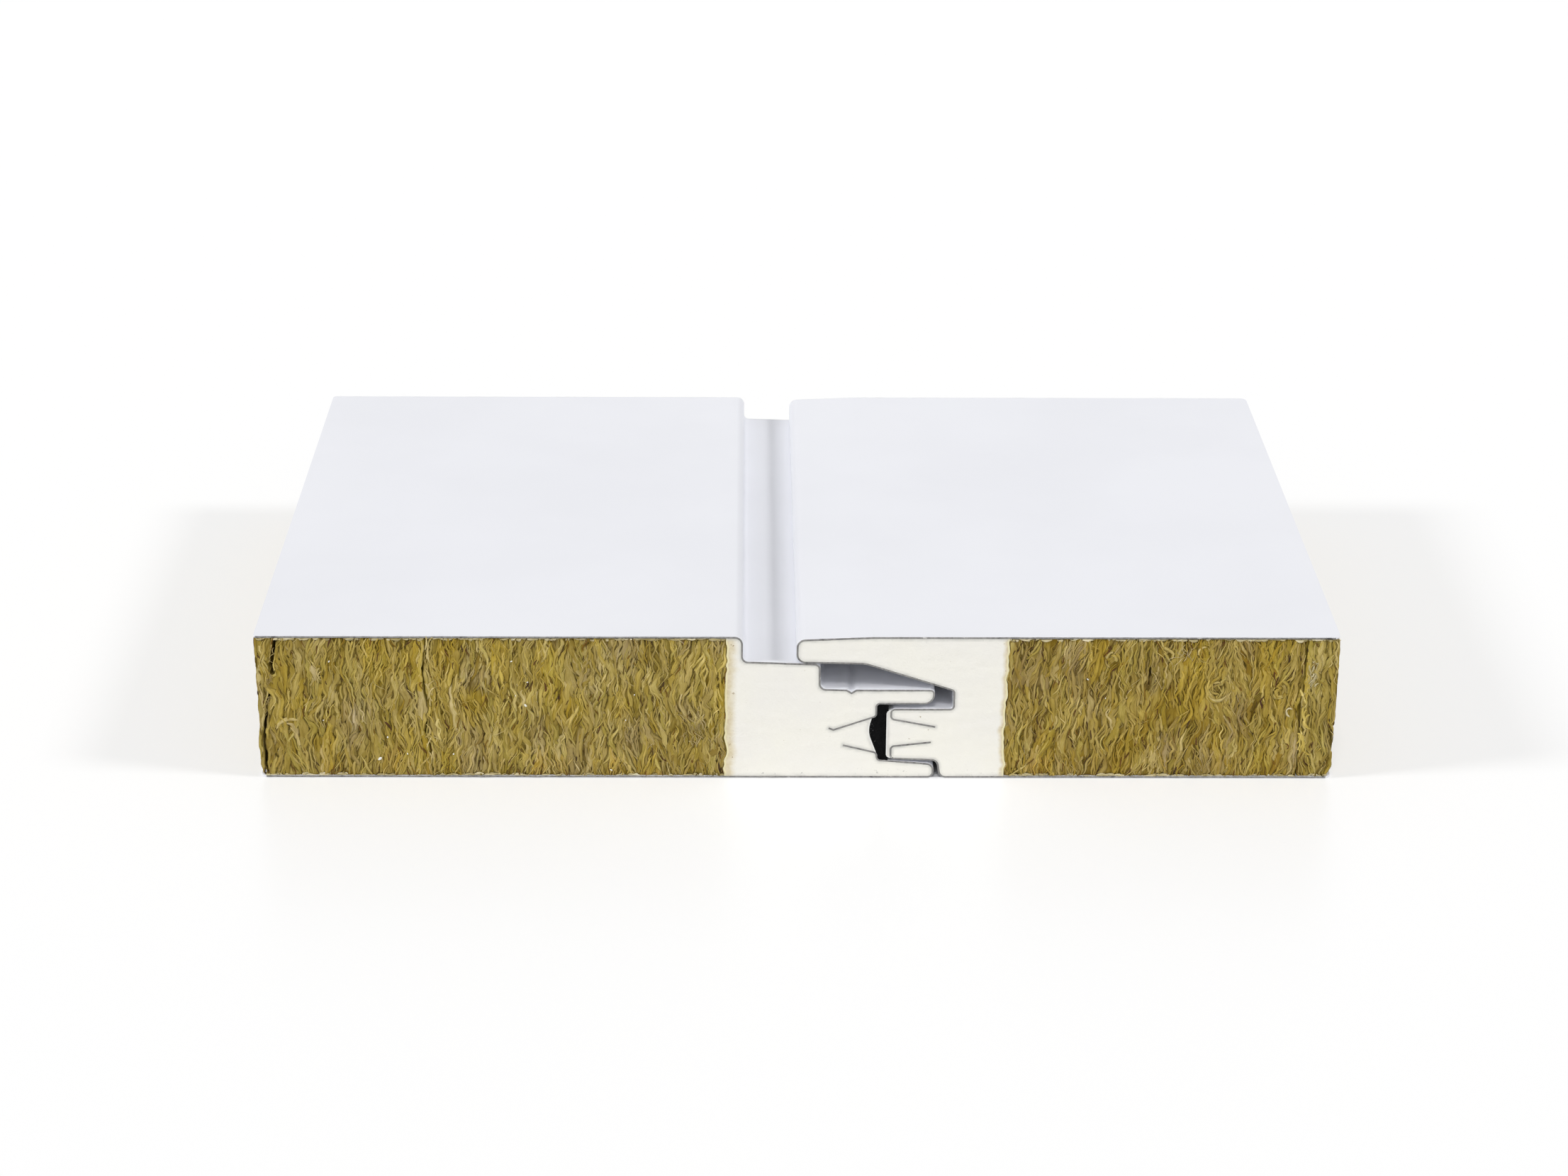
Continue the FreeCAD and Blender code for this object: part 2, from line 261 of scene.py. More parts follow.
class Shader(Nodes):
    """One Principled material and what feeds it."""

    def __init__(self, name, roughness, metallic=0.0, specular=0.5):
        self.material = bpy.data.materials.new(name)
        self.material.use_nodes = True
        super().__init__(self.material.node_tree)
        self.principled = self.tree.nodes["Principled BSDF"]
        self.wear("Roughness", roughness)
        self.wear("Metallic", metallic)
        self.wear("Specular IOR Level", specular)

    def wear(self, name, value):
        self.feed(self.principled.inputs[name], value)

    def place(self):
        return self.node("ShaderNodeTexCoord").outputs["Object"]

    def stretched(self, vector, scale):
        return self.node("ShaderNodeMapping", {"Vector": vector, "Scale": scale}).outputs["Vector"]

    def noise(self, vector, scale, detail=2.0, rough=0.5, distortion=0.0):
        inputs = {"Vector": vector, "Scale": scale, "Detail": detail, "Roughness": rough}
        return self.node("ShaderNodeTexNoise", {**inputs, "Distortion": distortion}).outputs["Fac"]

    def cells(self, vector, scale):
        return self.node("ShaderNodeTexVoronoi", {"Vector": vector, "Scale": scale}).outputs["Distance"]

    def ramp(self, value, low, high, to_low=0.0, to_high=1.0):
        inputs = {"Value": value, "From Min": low, "From Max": high, "To Min": to_low, "To Max": to_high}
        return self.node("ShaderNodeMapRange", inputs, interpolation_type="SMOOTHSTEP").outputs["Result"]

    def mix(self, factor, a, b, blend="MIX"):
        """Input 0 is the factor of a colour mix, 6 and 7 are its colours, and output 2 the result."""
        inputs = {0: factor, 6: a, 7: b}
        return self.node("ShaderNodeMix", inputs, data_type="RGBA", blend_type=blend).outputs[2]

    def attribute(self, name, output="Fac"):
        return self.node("ShaderNodeAttribute", attribute_name=name).outputs[output]

    def bump(self, height, distance, strength):
        inputs = {"Height": height, "Distance": distance, "Strength": strength}
        self.wear("Normal", self.node("ShaderNodeBump", inputs).outputs["Normal"])


def paint_material():
    """White coil coating, slightly blue, with a fine peel."""
    s = Shader("coil_coating", roughness=0.55, specular=0.3)
    place = s.place()
    clouds = s.noise(place, 14, 3)
    s.wear("Base Color", s.mix(s.ramp(clouds, 0.3, 0.7), srgb(232, 233, 238), srgb(235, 236, 241)))
    s.wear("Roughness", s.ramp(s.noise(place, 90, 4), 0.3, 0.7, 0.52, 0.60))
    s.bump(s.noise(place, 900, 2), 0.00002, 0.35)
    return s.material


def cut_steel_material():
    """Bare sawn edge of the sheet: grey, drawn by the blade, with bright and dark spots."""
    s = Shader("sawn_sheet_edge", roughness=0.45, metallic=0.55)
    place = s.place()
    drawn = s.noise(s.stretched(place, (1.0, 0.15, 0.25)), 900, 3, 0.6)
    spots = s.noise(place, 260, 4, 0.65)
    grey = s.mix(s.ramp(drawn, 0.3, 0.7), srgb(124, 123, 122), srgb(152, 151, 149))
    grey = s.mix(s.ramp(spots, 0.60, 0.72), grey, srgb(90, 89, 90))
    s.wear("Base Color", s.mix(s.ramp(spots, 0.36, 0.28), grey, srgb(204, 203, 200)))
    s.wear("Roughness", s.ramp(spots, 0.3, 0.7, 0.35, 0.6))
    s.bump(drawn, 0.00005, 0.6)
    return s.material


def foam_material():
    """Sawn rigid foam: cream, fine open cells, glue-soaked beside the wool, dirt at its top and foot, and
    painted shade beside the steel.
    """
    s = Shader("sawn_rigid_foam", roughness=0.8, specular=0.3)
    place = s.place()
    body = s.mix(s.ramp(s.noise(place, 45, 3), 0.3, 0.7), srgb(248, 246, 240), srgb(250, 248, 239))
    away = s.attribute("from_wool")
    drift = s.maths("MULTIPLY_ADD", s.noise(place, 260, 4, 0.6), -2.0, 1.0)
    inward = s.maths("DIVIDE", s.maths("ADD", away, drift), s.attribute("soak_width"))
    glue = s.mix(s.ramp(s.noise(place, 600, 3, 0.6), 0.35, 0.65), srgb(220, 206, 172), srgb(232, 221, 192))
    body = s.mix(s.ramp(inward, 1.0, 0.2), body, glue)
    specks = s.maths("MULTIPLY", s.ramp(s.noise(place, 900, 3, 0.6), 0.66, 0.72), s.ramp(inward, 1.0, 0.3))
    body = s.mix(specks, body, srgb(150, 122, 74))
    body = s.mix(s.ramp(away, 0.75, 0.45), body, srgb(240, 231, 188))
    cells = s.cells(place, 1500)
    body = s.mix(s.ramp(cells, 0.16, 0.02, 0.0, 0.12), body, srgb(196, 188, 164))
    pits = s.ramp(s.noise(place, 620, 2, 0.5), 0.735, 0.80)
    body = s.mix(pits, body, srgb(170, 158, 126))
    # Painted shade: a soft grey halo on the foam next to the steel sheets.
    patchy = s.ramp(s.noise(place, 240, 3), 0.3, 0.7, 0.35, 0.8)
    steel_shade = s.maths("MULTIPLY", s.attribute("by_steel"), patchy)
    body = s.mix(steel_shade, body, srgb(203, 202, 197))
    low = s.attribute("dirt")
    smut = s.maths("MULTIPLY", s.ramp(s.noise(place, 800, 4, 0.7), 0.62, 0.72), low)
    s.wear("Base Color", s.mix(smut, body, srgb(150, 150, 146)))
    s.bump(s.maths("ADD", cells, s.noise(place, 500, 3)), 0.00012, 0.5)
    return s.material


def wool_material():
    """Bonded mineral wool: each strand has its own tint, drawn out in fine fibres."""
    s = Shader("mineral_wool_fibres", roughness=0.78, specular=0.35)
    fibre = s.node("ShaderNodeUVMap", uv_map="fibre").outputs["UV"]
    fine = s.noise(s.stretched(fibre, (5.0, 0.38, 1.0)), 1.0, 4, 0.65, 0.4)
    broad = s.noise(s.stretched(fibre, (1.6, 0.16, 1.0)), 1.0, 3, 0.6)
    tint = s.attribute("tint", "Color")
    shade = s.ramp(fine, 0.25, 0.75, 0.78, 1.22)
    shade = s.maths("MULTIPLY", shade, s.ramp(broad, 0.3, 0.7, 0.92, 1.08))
    channels = {"Red": shade, "Green": shade, "Blue": s.maths("POWER", shade, 1.9)}
    grey = s.node("ShaderNodeCombineColor", channels).outputs["Color"]
    s.wear("Base Color", s.mix(1.0, tint, grey, "MULTIPLY"))
    s.bump(fine, 0.00012, 0.6)
    return s.material


def tape_material():
    """White edge tape, slightly creased."""
    s = Shader("white_edge_tape", roughness=0.5)
    place = s.place()
    clouds = s.noise(place, 130, 4)
    s.wear("Base Color", s.mix(s.ramp(clouds, 0.35, 0.65), srgb(226, 226, 224), srgb(238, 237, 233)))
    s.bump(s.noise(place, 700, 3), 0.00006, 0.4)
    return s.material


def seal_material():
    """Black open-cell sealing foam with pale grey specks in its cells."""
    s = Shader("black_sealing_foam", roughness=0.9, specular=0.1)
    place = s.place()
    cells = s.cells(place, 1700)
    body = s.mix(s.ramp(cells, 0.1, 0.5), srgb(5, 5, 6), srgb(13, 13, 14))
    dust = s.maths("MULTIPLY", s.ramp(s.noise(place, 1100, 3, 0.7), 0.60, 0.68), s.attribute("dust"))
    s.wear("Base Color", s.mix(dust, body, srgb(130, 130, 132)))
    s.bump(cells, 0.00018, 0.8)
    return s.material


# ---------------- sheet steel


EDGE_ROUND, BURR = 0.12, 0.10
SHEET_STEP = 1.3
# How far from a sawn end the rows of points lie.
ROW_DEPTHS = [0.0, EDGE_ROUND, 0.6, 1.6, 3.0, 8.0]

# The end of the sample that each facing reaches, the radius of its free corners in plan, its
# seed and its finish.
FACINGS = {
    "left_outer_facing": (-1, 1.2, 71, "coated_steel_outer"),
    "left_inner_facing": (-1, 2.5, 72, "coated_steel_inner"),
    "right_outer_facing": (1, 2.5, 73, "coated_steel_outer"),
    "right_inner_facing": (1, 2.5, 74, "coated_steel_inner"),
}


def sheet_outline(node, end):
    """The section of a facing, run out to the sawn end that its rounded corners leave."""
    line = front_outline(node)
    reach = line[:, 0].min() if end < 0 else line[:, 0].max()
    line[np.abs(line[:, 0] - reach) < 1e-3, 0] = end
    return resampled(line, SHEET_STEP)


def rounded_reach(x, end, radius, from_end):
    """x drawn in near a free end, where a facing's corner is rounded in plan."""
    if radius <= from_end:
        return x
    cut = radius - math.sqrt(radius**2 - (radius - from_end) ** 2)
    zone = 4 * radius
    share = np.clip((zone - np.abs(x - end)) / zone, 0, 1)
    return x - math.copysign(1, end) * cut * share


def sheet_rings(line, half, end, radius, noise):
    """The section repeated from the front to the back, rounded and burred at both sawn ends."""
    along = np.roll(line, -1, axis=0) - np.roll(line, 1, axis=0)
    along /= np.linalg.norm(along, axis=1)[:, None]
    out = np.stack([along[:, 1], -along[:, 0]], 1)
    path = np.cumsum(np.linalg.norm(np.roll(line, -1, axis=0) - line, axis=1))
    rings = []
    for y in [-half + d for d in ROW_DEPTHS] + [0.0] + [half - d for d in reversed(ROW_DEPTHS)]:
        from_end = half - abs(y)
        ring = line.copy()
        if from_end < EDGE_ROUND / 2:
            ring -= out * EDGE_ROUND * 0.8
        ragged = noise(path / 1.7, 7 * np.sign(y)) * noise(path / 9, 3 + np.sign(y))
        burr = np.clip(ragged, 0, 1) * BURR
        ring += out * (burr * math.exp(-from_end / 0.3))[:, None]
        ring[:, 0] = rounded_reach(ring[:, 0], end, radius, from_end)
        push = burr * (1 if from_end < 1e-6 else 0)
        rings.append(np.stack([ring[:, 0], y + np.sign(y) * push, ring[:, 1]], 1))
    return rings


def facing(node, end, radius, seed, slot, materials):
    """A painted sheet with fine rounded, slightly burred sawn edges and rounded free corners."""
    low, high = box_mm(node)
    line = sheet_outline(node, end)
    rings = sheet_rings(line, (high[1] - low[1]) / 2, end, radius, Noise(seed))
    count = len(line)
    here = np.arange(count)
    after = (here + 1) % count
    walls = [
        np.stack([here + r * count, here + (r + 1) * count, after + (r + 1) * count, after + r * count], 1)
        for r in range(len(rings) - 1)
    ]
    front_cap = here[None, :]
    back_cap = (here[::-1] + (len(rings) - 1) * count)[None, :]
    build = Build()
    build.add(np.concatenate(rings), walls[1:-1])
    build.add_faces([walls[0], walls[-1], front_cap, back_cap], 1)
    piece = build.finish(node.replace("facing", "sheet"), materials)
    piece.data.set_sharp_from_angle(angle=math.radians(38))
    return dress(piece, slot, node)


# ---------------- sawn foam


FOAM_CELL, SEAL_CELL = 0.7, 0.55

# The side of the joint that each foam edge lies on, the wool beside it, how far the glue has
# soaked in, and its seed.
FOAM_EDGES = {
    "left_foam_edge": (-1, "left_core_lamella_1", 4.2, 81),
    "right_foam_edge": (1, "right_core_lamella_1", 2.2, 82),
}


def cut_in_cells(outline, cell):
    """A flat outline cut into cells: its places (x, z), faces, and the sides along its rim."""
    mesh = bmesh.new()
    mesh.faces.new([mesh.verts.new((x, 0.0, z)) for x, z in outline])
    low, high = outline.min(0), outline.max(0)
    for axis, normal in ((0, (1, 0, 0)), (1, (0, 0, 1))):
        for at in np.arange(low[axis] + cell, high[axis] - cell / 4, cell):
            place = (at, 0, 0) if axis == 0 else (0, 0, at)
            everything = mesh.verts[:] + mesh.edges[:] + mesh.faces[:]
            bmesh.ops.bisect_plane(mesh, geom=everything, plane_co=place, plane_no=normal, dist=1e-4)
    bmesh.ops.remove_doubles(mesh, verts=mesh.verts[:], dist=0.01)
    bmesh.ops.triangulate(mesh, faces=[f for f in mesh.faces if len(f.verts) > 4])
    mesh.verts.index_update()
    flat = np.array([(v.co.x, v.co.z) for v in mesh.verts])
    faces = [[v.index for v in f.verts] for f in mesh.faces]
    rim = []
    for edge in mesh.edges:
        if len(edge.link_faces) == 1:
            loop = edge.link_loops[0]
            rim.append((loop.vert.index, loop.link_loop_next.vert.index))
    forward = mesh.faces[:][0].normal.y < 0
    mesh.free()
    if not forward:
        faces = [f[::-1] for f in faces]
        rim = [(b, a) for a, b in rim]
    return flat, faces, np.array(rim)


def sawn_solid(outline, cell, back, front, relief, bulge=None):
    """A prism between two sawn faces, each cut into cells and given a shallow relief.

    relief(x, z) is how far a place stands out of the sawn plane, and bulge(x, z) moves it in X.
    """
    flat, faces, rim = cut_in_cells(outline, cell)
    on_rim = np.zeros(len(flat), bool)
    on_rim[np.unique(rim)] = True
    stand = np.where(on_rim, 0.0, relief(flat[:, 0], flat[:, 1]))
    moved = flat.copy()
    if bulge is not None:
        moved[:, 0] += bulge(flat[:, 0], flat[:, 1])
    count = len(flat)
    points = np.concatenate([
        np.stack([moved[:, 0], front - stand, moved[:, 1]], 1),
        np.stack([moved[:, 0], back + stand, moved[:, 1]], 1),
    ])
    groups = []
    for size in (3, 4):
        chosen = np.array([f for f in faces if len(f) == size], int).reshape(-1, size)
        groups += [chosen, chosen[:, ::-1] + count]
    groups.append(np.stack([rim[:, 1], rim[:, 0], rim[:, 0] + count, rim[:, 1] + count], 1))
    return points, groups


def glue_line(side, z):
    """How far the foam's ragged edge strays, in X, from the straight joint with the wool."""
    noise = Noise(31 if side < 0 else 32)
    return 0.55 * noise(z / 5.0, 1) + 0.28 * noise(z / 1.6, 2)


def from_sheets(points, outline, wool_face):
    """How far each point lies, in the sawn plane, from the outline where steel covers the foam."""
    flat = points[:, [0, 2]]
    nearest = np.full(len(points), 99.0)
    for a, b in zip(outline, np.roll(outline, -1, axis=0)):
        if abs(a[0] - wool_face) < 0.01 and abs(b[0] - wool_face) < 0.01:
            continue
        along = np.clip((flat - a) @ (b - a) / max((b - a) @ (b - a), 1e-9), 0, 1)
        nearest = np.minimum(nearest, np.linalg.norm(flat - a - along[:, None] * (b - a), axis=1))
    return nearest


def foam_edge(node, side, wool_node, soak_width, seed, material):
    """A block of rigid foam that meets the wool at a ragged line."""
    low, high = box_mm(node)
    face = box_mm(wool_node)[1 if side < 0 else 0][0]
    ripple = Noise(seed)

    def relief(x, z):
        return 0.06 * ripple(x / 6, z / 1.8) + 0.05 * ripple(x / 1.1, z / 1.1)

    def bulge(x, z):
        return glue_line(side, z) * smoothstep(6.0, 0.0, np.abs(x - face))

    points, groups = sawn_solid(front_outline(node), FOAM_CELL, high[1], low[1], relief, bulge)
    from_wool = np.abs(points[:, 0] - face - glue_line(side, points[:, 2]))
    # Painted shade: nearness to the steel, for a grey halo on the foam there.
    by_steel = smoothstep(1.1, 0.1, from_sheets(points, front_outline(node), face))
    dirt = smoothstep(4.0, 0.3, points[:, 2] - low[2]) + 0.35 * smoothstep(2.0, 0.2, high[2] - points[:, 2])
    soaked = np.full(len(points), soak_width)
    build = Build()
    build.add(points, groups, from_wool=from_wool, by_steel=by_steel, dirt=dirt, soak_width=soaked)
    piece = build.finish(node.replace("_edge", "_block"), [material])
    piece.data.set_sharp_from_angle(angle=math.radians(40))
    return dress(piece, "rigid_foam", node)


def seal(material):
    """The squeezed strip, a little behind the sawn front, with pale grey specks on its left side."""
    node = "joint_seal"
    low, high = box_mm(node)
    ripple = Noise(41)

    def relief(x, z):
        return -0.35 - 0.25 * ripple(x / 1.2, z / 1.2) - 0.12 * ripple(x / 0.5, z / 0.5)

    points, groups = sawn_solid(front_outline(node), SEAL_CELL, high[1], low[1], relief)
    dust = smoothstep(low[0] + 2.4, low[0] + 0.6, points[:, 0])
    build = Build()
    build.add(points, groups, dust=dust)
    piece = build.finish("joint_sealing_strip", [material])
    piece.data.set_sharp_from_angle(angle=math.radians(50))
    return dress(piece, "seal_foam", node)


# ---------------- mineral wool


WOOL_COLOUR = (174, 153, 77)
TONE_STEP = (30, 32, 38)  # what one step of tone adds to red, green and blue
HUES = {
    "olive": (-6, -2, -10),
    "plain": (0, 0, 0),
    "ochre": (7, 3, -15),
    "tan": (4, 4, 12),
    "grey": (-4, -3, 16),
    "rust": (8, -6, -13),
    "glue": (-2, 4, 30),
    "shot": (10, 28, 84),
    # painted shade inside the splits
    "crack_shade": (-36, -26, 8),
    # painted shade of the dark pits
    "deep": (-10, 0, 6),
}


def hue_rows(*names):
    """What these hues add to the wool's colour, a row each."""
    return np.array([HUES[name] for name in names], float)


def wool_tint(hue, tone):
    """Linear tints: pale fibres are greyer and shaded ones stronger in colour."""
    step = np.array(TONE_STEP) * np.asarray(tone, float)[..., None]
    value = np.array(WOOL_COLOUR) + np.asarray(hue, float) + step
    value = np.clip(value / 255, 0.03, 0.97)
    return np.where(value <= 0.04045, value / 12.92, ((value + 0.055) / 1.055) ** 2.4)


class Face:
    """An upright plane: places on it are millimetres across (u), up (v) and outwards (w)."""

    def __init__(self, normal, distance):
        self.out = np.array([*normal, 0.0])
        self.across = np.array([-normal[1], normal[0], 0.0])
        self.distance = distance

    def place(self, u, v, w):
        up = np.array([0.0, 0.0, 1.0])
        return (
            np.asarray(u)[..., None] * self.across
            + np.asarray(v)[..., None] * up
            + (self.distance + np.asarray(w))[..., None] * self.out
        )


FRONT, BACK = Face((0.0, -1.0), FRONT_Y), Face((0.0, 1.0), FRONT_Y)
LEFT_END, RIGHT_END = Face((-1.0, 0.0), END_X), Face((1.0, 0.0), END_X)


class Felt:
    """The relief of the pressed fibre layers on a face, and the way that its fibres run.

    lean is their mean angle from upright, wave how much they wander, coarse the size of it all,
    swirls are places (across, up, radius) that they run round, and cast shifts the colour.
    """

    def __init__(self, seed, lean, wave, coarse=1.0, swirls=(), cast=(0, 0, 0)):
        self.noise = [Noise(seed * 10 + i) for i in range(10)]
        self.lean, self.wave, self.coarse, self.swirls = lean, wave, coarse, swirls
        self.cast = np.array(cast)

    def flow(self, u, v):
        """Unit direction (u, v) of the fibres."""
        n, c = self.noise, self.coarse
        broad, narrow = n[0](u / (4.5 * c), v / (5.0 * c)), n[1](u / (2.2 * c), v / (2.6 * c))
        angle = self.lean + self.wave * (0.8 * broad + 0.75 * narrow)
        du, dv = np.sin(angle), np.cos(angle)
        for cu, cv, radius in self.swirls:
            ru, rv = u - cu, v - cv
            far = np.hypot(ru, rv) + 1e-6
            pull = np.exp(-((far / radius) ** 2))
            turn = np.sign(du * -rv + dv * ru) / far
            du = du * (1 - pull) - rv * turn * pull
            dv = dv * (1 - pull) + ru * turn * pull
        size = np.hypot(du, dv) + 1e-6
        return du / size, dv / size

    def relief(self, u, v):
        """(height, tone) of the layers, each about -1 to 1: wavy ridges with hollows between."""
        n, c = self.noise, self.coarse
        drift = 1.1 * n[2](u / (6 * c), v / (5 * c)) + 0.5 * n[3](u / (2.4 * c), v / (2.6 * c))
        wu = u + c * drift
        wu = wu - self.lean * v
        wv = v + 1.6 * c * n[4](u / (4 * c), v / (6 * c))
        for cu, cv, radius in self.swirls:
            far = np.hypot(u - cu, v - cv)
            pull = np.exp(-((far / (1.2 * radius)) ** 2))
            wu, wv = wu * (1 - pull) + far * pull, wv * (1 - pull) + cv * pull
        broad = 1 - 2 * np.abs(n[5](wu / (1.5 * c), wv / (8 * c)))
        narrow = 1 - 2 * np.abs(n[6](wu / (0.8 * c), wv / (5.5 * c)))
        hair = n[7](wu / (0.42 * c), wv / (3.5 * c))
        height = 0.5 * broad + 0.32 * narrow + 0.18 * hair
        # Painted shade and highlight: the tone follows the ridges, darker in the hollows between them and
        # lighter on their crests.
        tone = 0.45 * broad + 0.45 * narrow + 0.35 * hair + 0.3 * n[8](u / 7, v / 9) - 0.15
        return height, tone

    def hue(self, u, v):
        """Broad patches of colour: yellower, greyer, and rusty near the foot."""
        n = self.noise
        yellow = smoothstep(0.0, 0.8, n[9](u / 8, v / 13))[..., None]
        grey = smoothstep(0.0, 0.8, n[8](u / 6 + 40, v / 12))[..., None]
        foot = 0.6 * (smoothstep(11, 2, v) * smoothstep(0.2, 0.9, n[9](u / 4 + 30, v / 5)))[..., None]
        hue = hue_rows("ochre") * yellow + hue_rows("grey") * grey * (1 - yellow)
        return hue * (1 - foot) + hue_rows("rust") * foot + self.cast


class Crack:
    """A narrow upright split in a face, along u = line(v) from v_low to v_high."""

    def __init__(self, line, v_low, v_high, half, openness, seed):
        self.line, self.v_low, self.v_high = line, v_low, v_high
        self.half, self.open, self.noise = half, openness, Noise(seed)

    def width(self, v):
        """Half width of the gap at each height, which opens and closes along the split."""
        v = np.asarray(v)
        within = smoothstep(self.v_low - 1, self.v_low + 1, v)
        within = within * smoothstep(self.v_high + 1, self.v_high - 1, v)
        gape = self.open + 0.9 * self.noise(v / 4.2, 0.0) + 0.5 * self.noise(v / 1.4, 9.0)
        return self.half * within * np.clip(gape, 0, 1.6)

    def depth(self, u, v):
        """How deep the gap is at each place, from 0 to 1."""
        half = np.maximum(self.width(v), 0.02)
        return np.exp(-((np.asarray(u) - self.line(v)) / (1.1 * half)) ** 2) * smoothstep(0.08, 0.3, half)

    def part(self, u, v, width):
        """Paths pushed off the gap, to the side that their middle lies on."""
        middle = u.shape[1] // 2
        side = np.where(u[:, middle] > self.line(v[:, middle]), 1.0, -1.0)[:, None]
        half = self.width(v)
        near = (half > 0.12) & (v > self.v_low) & (v < self.v_high)
        off = side * (u - self.line(v))
        return np.where(near, self.line(v) + side * np.maximum(off, half + width[:, None] / 2.4), u)


def flow_paths(rng, felt, count, lengths, limits, segments, stray):
    """Paths (u, v) that run with the flow, a little astray each, in (u low, u high, v low, v high)."""
    u_low, u_high, v_low, v_high = limits
    length = rng.uniform(*lengths, count)
    u = np.empty((count, segments + 1))
    v = np.empty((count, segments + 1))
    middle = segments // 2
    u[:, middle] = rng.uniform(u_low, u_high, count)
    v[:, middle] = rng.uniform(v_low - 2, v_high + 2, count)
    step = length / segments
    bend = rng.normal(0, stray, count)
    cos, sin = np.cos(bend), np.sin(bend)
    for order in (1, -1):
        for i in range(middle, segments if order > 0 else 0, order):
            du, dv = felt.flow(u[:, i], v[:, i])
            du, dv = du * cos + dv * sin, dv * cos - du * sin
            u[:, i + order], v[:, i + order] = u[:, i] + order * du * step, v[:, i] + order * dv * step
    swing, period, phase = (rng.uniform(a, b, (count, 1)) for a, b in ((0.05, 0.5), (3.2, 8), (0, 6.28)))
    u = u + swing * np.sin(2 * np.pi * v / period + phase)
    v += np.maximum(v_low - v.min(1), 0)[:, None]
    v -= np.maximum(v.max(1) - v_high, 0)[:, None]
    return u, v


def strand_faces(count, rings, wide):
    """Faces of strands whose points are two tips, then rings of points between them."""
    first = (np.arange(count) * (2 + rings * wide))[:, None, None]
    k = np.arange(wide)
    after = (k + 1) % wide
    i = np.arange(rings - 1)[:, None] * wide + 2
    quads = np.stack([i + k, i + after, i + wide + after, i + wide + k], -1).reshape(1, -1, 4) + first
    last = (rings - 1) * wide
    start = np.stack([np.zeros(wide, int), after + 2, k + 2], -1)[None] + first
    end = np.stack([k + 2 + last, after + 2 + last, np.ones(wide, int)], -1)[None] + first
    return [quads.reshape(-1, 4), np.concatenate([start, end]).reshape(-1, 3)]


def strand_points(face, u, v, w, width, height, tilt, rails, rng):
    """Ridged, tapering strands along paths: points, faces and places across each strand."""
    count, rings = u.shape
    du, dv = np.gradient(u, axis=1), np.gradient(v, axis=1)
    size = np.hypot(du, dv) + 1e-9
    side_u, side_v = dv / size, -du / size
    t = np.linspace(0, 1, rings)
    blunt = rng.uniform(0.25, 0.6, (count, 1))
    taper = np.clip(np.sin(np.pi * t)[None, :], 0, 1) ** blunt
    swell = 1 + 0.22 * np.sin(rng.uniform(0, 6.28, (count, 1)) + rng.uniform(3, 9, (count, 1)) * t)
    across = np.linspace(-1, 1, rails + 2)
    lift = np.zeros((count, 1, rails + 2))
    lift[:, 0, 1:-1] = rng.uniform(0.45, 1.0, (count, rails)) if rails > 1 else 1.0
    half = (width[:, None] / 2 * taper * swell)[:, :, None] * across
    rise = (height[:, None] * taper)[:, :, None] * lift
    lean, level = np.sin(tilt)[:, None, None], np.cos(tilt)[:, None, None]
    pu = u[:, :, None] + side_u[:, :, None] * (half * level - rise * lean)
    pv = v[:, :, None] + side_v[:, :, None] * (half * level - rise * lean)
    pw = w[:, :, None] + half * lean + rise * level
    ring = face.place(pu, pv, pw)[:, 1:-1]
    tips = face.place(u[:, [0, -1]], v[:, [0, -1]], w[:, [0, -1]])
    points = np.concatenate([tips, ring.reshape(count, -1, 3)], 1)
    return points, strand_faces(count, rings - 2, rails + 2), half, lift, pu, pv


def per_point(values):
    """Rows for the two tips, then for the rings between them, in the order of a strand's points."""
    count = len(values)
    tips = np.stack([values[:, 0, values.shape[2] // 2], values[:, -1, values.shape[2] // 2]], 1)
    return np.concatenate([tips, values[:, 1:-1].reshape(count, -1, values.shape[-1])], 1)


# Kinds of strand. Ranges of size are millimetres, and depth is how far out of the face's plane a
# strand starts. Strands tilt by lean and turn off the flow by stray. Tones are a mean and a spread.
Kind = namedtuple("Kind", "share rails segments width height length depth lean stray tone hues")
STRAND_KINDS = (
    # flakes
    Kind(0.31, 3, 10, (1.0, 2.5), (0.10, 0.24), (7, 19), (-0.55, -0.24), 0.16, 0.08,
         (-0.15, 0.28), ("olive", "plain", "plain", "tan", "grey", "ochre")),
    # strands
    Kind(0.37, 1, 11, (0.5, 1.2), (0.12, 0.26), (5, 15), (-0.40, -0.12), 0.18, 0.15,
         (0.0, 0.30), ("olive", "plain", "plain", "ochre", "tan", "grey")),
    # dark pits: flat, dark strands laid in the gaps between strands, a painted shade
    Kind(0.17, 1, 8, (0.22, 0.5), (0.02, 0.04), (1.5, 6.0), (-0.14, -0.04), 0.05, 0.15,
         (-2.3, 0.5), ("deep", "deep", "rust")),
    # ridges
    Kind(0.13, 1, 11, (0.26, 0.55), (0.10, 0.20), (3, 10), (-0.22, -0.04), 0.16, 0.22,
         (0.25, 0.35), ("plain", "ochre", "tan", "tan")),
    # hairs: pale thin fibres, partly a painted glint
    Kind(0.02, 1, 9, (0.12, 0.22), (0.06, 0.12), (2.5, 7), (-0.10, 0.04), 0.16, 0.5,
         (0.9, 0.4), ("tan", "glue", "plain")),
)

# One strand that stands out, along points (across, up), and loose fibres strewn along a line.
Flake = namedtuple("Flake", "points width tone hue")
Tuft = namedtuple("Tuft", "start end spread count length width hue tone lean")


def flush(v):
    """How far wool lies behind its face's plane: not at all."""
    return 0 * v


